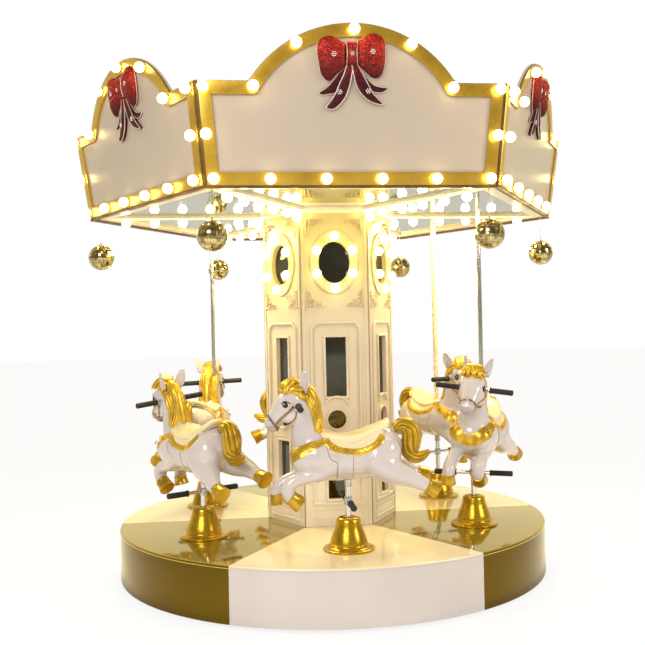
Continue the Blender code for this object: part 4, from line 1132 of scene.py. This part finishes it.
# Mane, forelock and tail: carved in the mould as thick locks over a smooth bed, and gilded.
CREST_EDGE = mm((161, 744), (141, 722), (123, 692), (116, 657), (114, 622), (112, 587), (110, 552),
                (109, 530))
FRONT_EDGE = mm((200, 734), (190, 714), (180, 690), (166, 663), (152, 636), (143, 605), (140, 570),
                (138, 541))
TAIL = mm((-222, 535, 20), (-252, 550, 29), (-287, 540, 37), (-305, 504, 43), (-299, 460, 42),
          (-294, 428, 38), (-314, 404, 31), (-348, 405, 23), (-385, 426, 9))


def lock(points, radius, side, lift=0.004, flat=0.62):
    """A tapering lock laid on the skin along a side-view line."""
    stations = []
    last = 0.012
    for i, (x, z) in enumerate(points):
        hit, _ = skin_point(x, z, side)
        if hit is not None and abs(hit.y) > 0.008:
            last = abs(hit.y)
        thick = radius * (0.28 + 0.72 * sin(pi * min(1, 0.18 + 0.72 * i / (len(points) - 1))))
        stations.append((x, side * (last + lift), z, thick))
    (back_x, back_z), (x, z) = points[-2:]
    stations.append((x + (x - back_x) * 0.3, stations[-1][1] * 0.97, z + (z - back_z) * 0.3, 0.0015))
    return tube(stations, 10, flat, 3)


hair = [
    body_form([(214, 0, 738, 14), (182, 0, 727, 27), (152, 0, 697, 30), (138, 0, 650, 30),
               (124, 0, 590, 28), (106, 0, 530, 18)], 16, 1.10),
    body_form([(190, 0, 722, 22), (222, 0, 728, 26), (258, 0, 712, 22), (277, 0, 694, 10)], 16, 1.9),
]
crest = smooth_line(CREST_EDGE, 4)
front = smooth_line(FRONT_EDGE, 4)
for side in (1, -1):
    for k, (begin, end) in enumerate(((0, 27), (0, 26), (0, 28), (1, 27), (4, 28))):
        line = []
        for j in range(8):
            i = round(begin + (end - begin) * j / 7)
            share = k / 4 - 0.20 * (j / 7 - 0.5) + 0.05 * sin(j * 1.3 + k * 2.1)
            line.append(crest[i].lerp(front[i], min(1.04, max(-0.04, share))))
        hair.append(lock(line, 0.0092, side, 0.003, 0.95))
for k in range(9):
    out, wave = (k - 4) / 4, 0.003 * (-1) ** k
    low = abs(out)
    hair.append(tube([(0.196, out * 0.010, 0.750, 0.007), (0.228, out * 0.028, 0.763 - low * 0.004, 0.0135),
                      (0.262 - low * 0.006, out * 0.044, 0.750 - low * 0.012, 0.0135),
                      (0.284 - low * 0.018, out * 0.054 + wave, 0.729 - low * 0.010, 0.0095),
                      (0.289 - low * 0.024, out * 0.057, 0.711 + wave, 0.0015)], 10, 0.8, 3))
for side in (1, -1):
    for x, end in ((0.228, 0.706), (0.216, 0.692), (0.203, 0.684), (0.190, 0.676)):
        hair.append(lock([(x + 0.002, 0.744), (x + 0.004, 0.728), (x - 0.002, 0.712), (x - 0.012, end)],
                         0.0105, side))
on_ponies("mane", hair, gilding, "gold_paint", 70)

tail = [moved(tube([(x, 0, z, r * 0.72) for x, z, r in TAIL], 16), Matrix.Diagonal((1, 0.85, 1, 1)))]
centres = [Vector((x, z)) for x, z, r in TAIL]
for k in range(9):
    stations = []
    for i, (x, z, r) in enumerate(TAIL):
        ahead = heading(centres, i).normalized()
        a = 2 * pi * k / 9 + 0.20 * i + 0.22 * sin(i * 1.3)
        off = r * 0.78 * cos(a)
        stations.append((x - ahead.y * off, r * 0.86 * 0.85 * sin(a), z + ahead.x * off, r * 0.30))
    tail.append(tube(stations, 8))
# Painted shade: a darker copy of the gilding, for the tail and the hooves.
shaded_gilding = coated("shaded_gilding", (0.56, 0.350, 0.024), (0.38, 0.235, 0.012), 0.32, 18, 30, 0.0001,
                      {"Metallic": 0.72, "Coat Weight": 0.2, "Coat Roughness": 0.22})
on_ponies("tail", tail, shaded_gilding, "gold_paint", 70)


# Hooves: flared and flat-soled, with a coronet ring, gilded like the tail
# in the darker copy of the gilding that paints shade.
hooves = []
for top, sole, small, wide in (((0.252, 0.066, 0.255), (0.208, 0.066, 0.221), 0.032, 0.039),
                               ((0.304, -0.066, 0.248), (0.295, -0.066, 0.203), 0.031, 0.038),
                               ((-0.344, 0.131, 0.301), (-0.390, 0.133, 0.276), 0.031, 0.0415),
                               ((-0.344, -0.102, 0.311), (-0.392, -0.103, 0.292), 0.031, 0.0415)):
    up = Vector(top) - Vector(sole)
    high = up.length
    hoof = turned([(0.0, high), (small - 0.003, high + 0.001), (small + 0.0015, high - 0.001),
                   (small + 0.002, high - 0.007), (small, high - 0.011), (wide - 0.001, 0.004),
                   (wide, 0.001), (wide - 0.002, -0.001), (wide - 0.006, -0.0013), (0.0, -0.0015)], 28)
    hooves.append(moved(hoof, Matrix.Translation(sole) @ facing(up)))
on_ponies("hooves", hooves, shaded_gilding, "gold_paint", 40)


# Posts and bars: bright steel tube. The post slides in the bell's gland and carries the foot bar;
# the hand bar goes through the head. Black ribbed rubber grips with domed ends are pushed on.
POST = 0.0125
POST_TOP, POST_LOW = 0.45, -0.143
FOOT_BAR, FOOT_HALF = 0.218, 0.196
HAND_X, HAND_Z, HAND_HALF = 0.210, 0.652, 0.186
GRIP, GRIP_LENGTH = 0.0135, 0.111
bright_steel, paint = new_finish("bright_steel", {"Metallic": 1.0}, (40, 0.10, 0.10))
feed(bright_steel, "Base Color", noise(paint, 7).mix((0.72, 0.72, 0.71), (0.60, 0.60, 0.60)))
black_rubber = coated("black_rubber", (0.022, 0.020, 0.020), (0.035, 0.032, 0.030), 0.5, 25, 150, 0.0004,
                      {"Specular IOR Level": 0.25})
ribs = [(GRIP + step, 0.006 + i * 0.0044 + along) for i in range(22)
        for step, along in ((-0.0009, 0), (-0.0009, 0.0012), (0, 0.0018), (0, 0.0038))]
grip = turned(mm((0, 0), (15, 0), (16, 1), (16, 4), (15, 5)) + ribs
              + mm((13.9, 103.5), (13.7, 107), (11, 110), (6, 111.5), (0, 111.8)), 20)


def across_bar(half, x, z):
    """A bar across the pony, and its two grips."""
    return tube([(x, -half + 0.012, z, 0.0085), (x, half - 0.012, z, 0.0085)], 16, 1.0, 1), [
        placed(grip, shift(x, side * (half - GRIP_LENGTH), z) @ rotated(-90 * side, "X"))
        for side in (1, -1)]


foot_bar, foot_grips = across_bar(FOOT_HALF, 0, FOOT_BAR)
hand_bar, hand_grips = across_bar(HAND_HALF, HAND_X, HAND_Z)
post = turned([(0.0, POST_TOP), (POST, POST_TOP), (POST, BELLY - 0.030), (POST, POST_LOW),
               (0.0, POST_LOW)], 32)
sleeve = turned([(POST + 0.0003, BELLY + 0.02), (0.0165, BELLY + 0.02), (0.0165, BELLY - 0.028),
                 (0.0158, BELLY - 0.030), (POST + 0.0003, BELLY - 0.030)], 28)
boss = turned([(r, FOOT_BAR + up) for r, up in mm((13, -18), (16.5, -17), (17, -14), (17, 14),
                                                  (16.5, 17), (13, 18))], 28)
for seat in SEATS:
    for name, parts, place, finish, slot, node in (
            ("post", [post, foot_bar], pony_post, bright_steel, "plated_steel", "post"),
            ("post_sleeve", [sleeve, boss], pony_post, dull_steel, "plated_steel", None),
            ("foot_grips", foot_grips, pony_post, black_rubber, "rubber_grip", None),
            ("hand_grips", hand_grips, pony_place, black_rubber, "rubber_grip", "handlebar"),
            ("hand_bar", [hand_bar], pony_place, bright_steel, "plated_steel", None)):
        piece(f"{name}_{seat}", moved(joined(parts), place(seat)), finish, slot, f"horse_{seat}",
              node=node and f"horse_{seat}_{node}")


# Poles and rods: ponies 3 and 4 have a twisted cream pole from the saddle up through the
# canopy, and ponies 2 and 5 a thin plain rod from the top of the head.
POLE = 0.0140
POLE_FOOT, POLE_TOP = 0.44, 1.9495 - DECK_TOP
TWISTS = 150
ROD = 0.0102
ROD_AT, ROD_LOW = 0.165, 0.690
ROD_OUT = {2: 0.024, 5: -0.034}
pole_cream = coated("pole_cream", (0.74, 0.66, 0.47), (0.60, 0.52, 0.34), 0.28, 15, 90, 0.0005,
                    {"Metallic": 0.35, "Coat Weight": 0.4})
for seat in (3, 4):
    twist = bmesh.new()
    outline(twist, [(x * (1 - 0.10 * (i % 2)), y * (1 - 0.10 * (i % 2)))
                    for i, (x, y) in enumerate(oval(POLE, POLE, (0, 0), 12))], POLE_FOOT)
    bmesh.ops.contextual_create(twist, geom=twist.edges[:])
    top_faces = twist.faces[:]
    for i in range(TWISTS):
        grown = bmesh.ops.extrude_face_region(twist, geom=top_faces)
        if i:
            bmesh.ops.delete(twist, geom=top_faces, context="FACES_ONLY")
        top_faces = [f for f in grown["geom"] if isinstance(f, bmesh.types.BMFace)]
        corners = raise_new(twist, grown, (POLE_TOP - LIFT[seat] - POLE_FOOT) / TWISTS)
        bmesh.ops.rotate(twist, verts=corners, cent=(0, 0, 0), matrix=Matrix.Rotation(0.16, 3, "Z"))
    piece(f"pole_{seat}", moved(faced_out(twist), pony_post(seat)), pole_cream, "plated_steel",
          f"horse_{seat}", 50)
for seat in (2, 5):
    foot = pony_lean(seat) @ Vector((ROD_AT, ROD_OUT[seat], ROD_LOW))
    rod = tube([(foot.x, foot.y, ROD_LOW, ROD), (foot.x, foot.y, POLE_TOP, ROD)], 24, 1.0, 1)
    piece(f"rod_{seat}", moved(rod, pony_post(seat)), bright_steel, "plated_steel", f"horse_{seat}",
          node=f"horse_{seat}_rod")


# Floor and light: a pale studio floor, a bright even room, and one large soft light in front.
# A smaller one stands to the right, and two warm ones under the canopy light the far ponies.
floor = bmesh.new()
bmesh.ops.create_grid(floor, x_segments=1, y_segments=1, size=40)
floor_mesh = bpy.data.meshes.new("studio_floor")
floor.to_mesh(floor_mesh)
pale_floor = coated("pale_floor", (0.93, 0.925, 0.91), (0.90, 0.895, 0.88), 0.75, 0.8, 30, 0.0005, {})
floor_mesh.materials.append(pale_floor)
new_object("studio_floor", floor_mesh)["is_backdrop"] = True
tree = pale_floor.node_tree
shine = Tone(tree)
seen = shine.node("ShaderNodeLightPath", {}, {}, out="Is Camera Ray") * 0.86
lit_floor = shine.node("ShaderNodeEmission", {}, {"Color": (1.0, 1.0, 1.0, 1.0), "Strength": 1.0})
surface = Tone(tree, tree.nodes["Principled BSDF"].outputs["BSDF"])
mixed = shine.node("ShaderNodeMixShader", {}, {0: seen, 1: surface, 2: lit_floor})
tree.links.new(mixed.socket, tree.nodes["Material Output"].inputs["Surface"])
world = bpy.data.worlds.new("studio")
bpy.context.scene.world = world
world.use_nodes = True
sky = Tone(world.node_tree)
glossy, direct = (sky.node("ShaderNodeLightPath", {}, {}, out=f"Is {kind} Ray")
                  for kind in ("Glossy", "Camera"))
way = sky.node("ShaderNodeTexCoord", {}, {}, out="Generated")
behind = sky.node("ShaderNodeSeparateXYZ", {}, {"Vector": way}, out="Y").between(-0.1, 0.7)
room = glossy.mix((0.88, 0.82, 0.71), behind.mix((0.28, 0.24, 0.17), (0.92, 0.81, 0.50)))
room = direct.mix(room, (1.0, 1.0, 1.0))
world.node_tree.links.new(room.socket, world.node_tree.nodes["Background"].inputs["Color"])


def soft_light(name, at, aim, size, power, colour):
    """A square area light that faces a point."""
    lamp = bpy.data.lights.new(name, "AREA")
    lamp.size, lamp.energy, lamp.color = size, power, colour
    made = new_object(name, lamp)
    made.location = at
    made.visible_camera = False
    made.rotation_euler = (Vector(aim) - Vector(at)).to_track_quat("-Z", "Y").to_euler()


soft_light("front_light", (-2.4, -5.0, 3.4), (0, 0, 1.1), 2.5, 140, (1.0, 0.96, 0.93))
soft_light("right_light", (4.2, -3.6, 2.8), (0, 0, 1.1), 1.6, 85, (1.0, 0.93, 0.84))
for side in (-1, 1):
    soft_light("warm_light", (side * 0.85, 0.20, 1.79), (side * 0.55, 0.45, 0.3), 0.4, 21, (1.0, 0.80, 0.36))
bpy.context.scene.view_settings.view_transform = "Standard"

low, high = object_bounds()
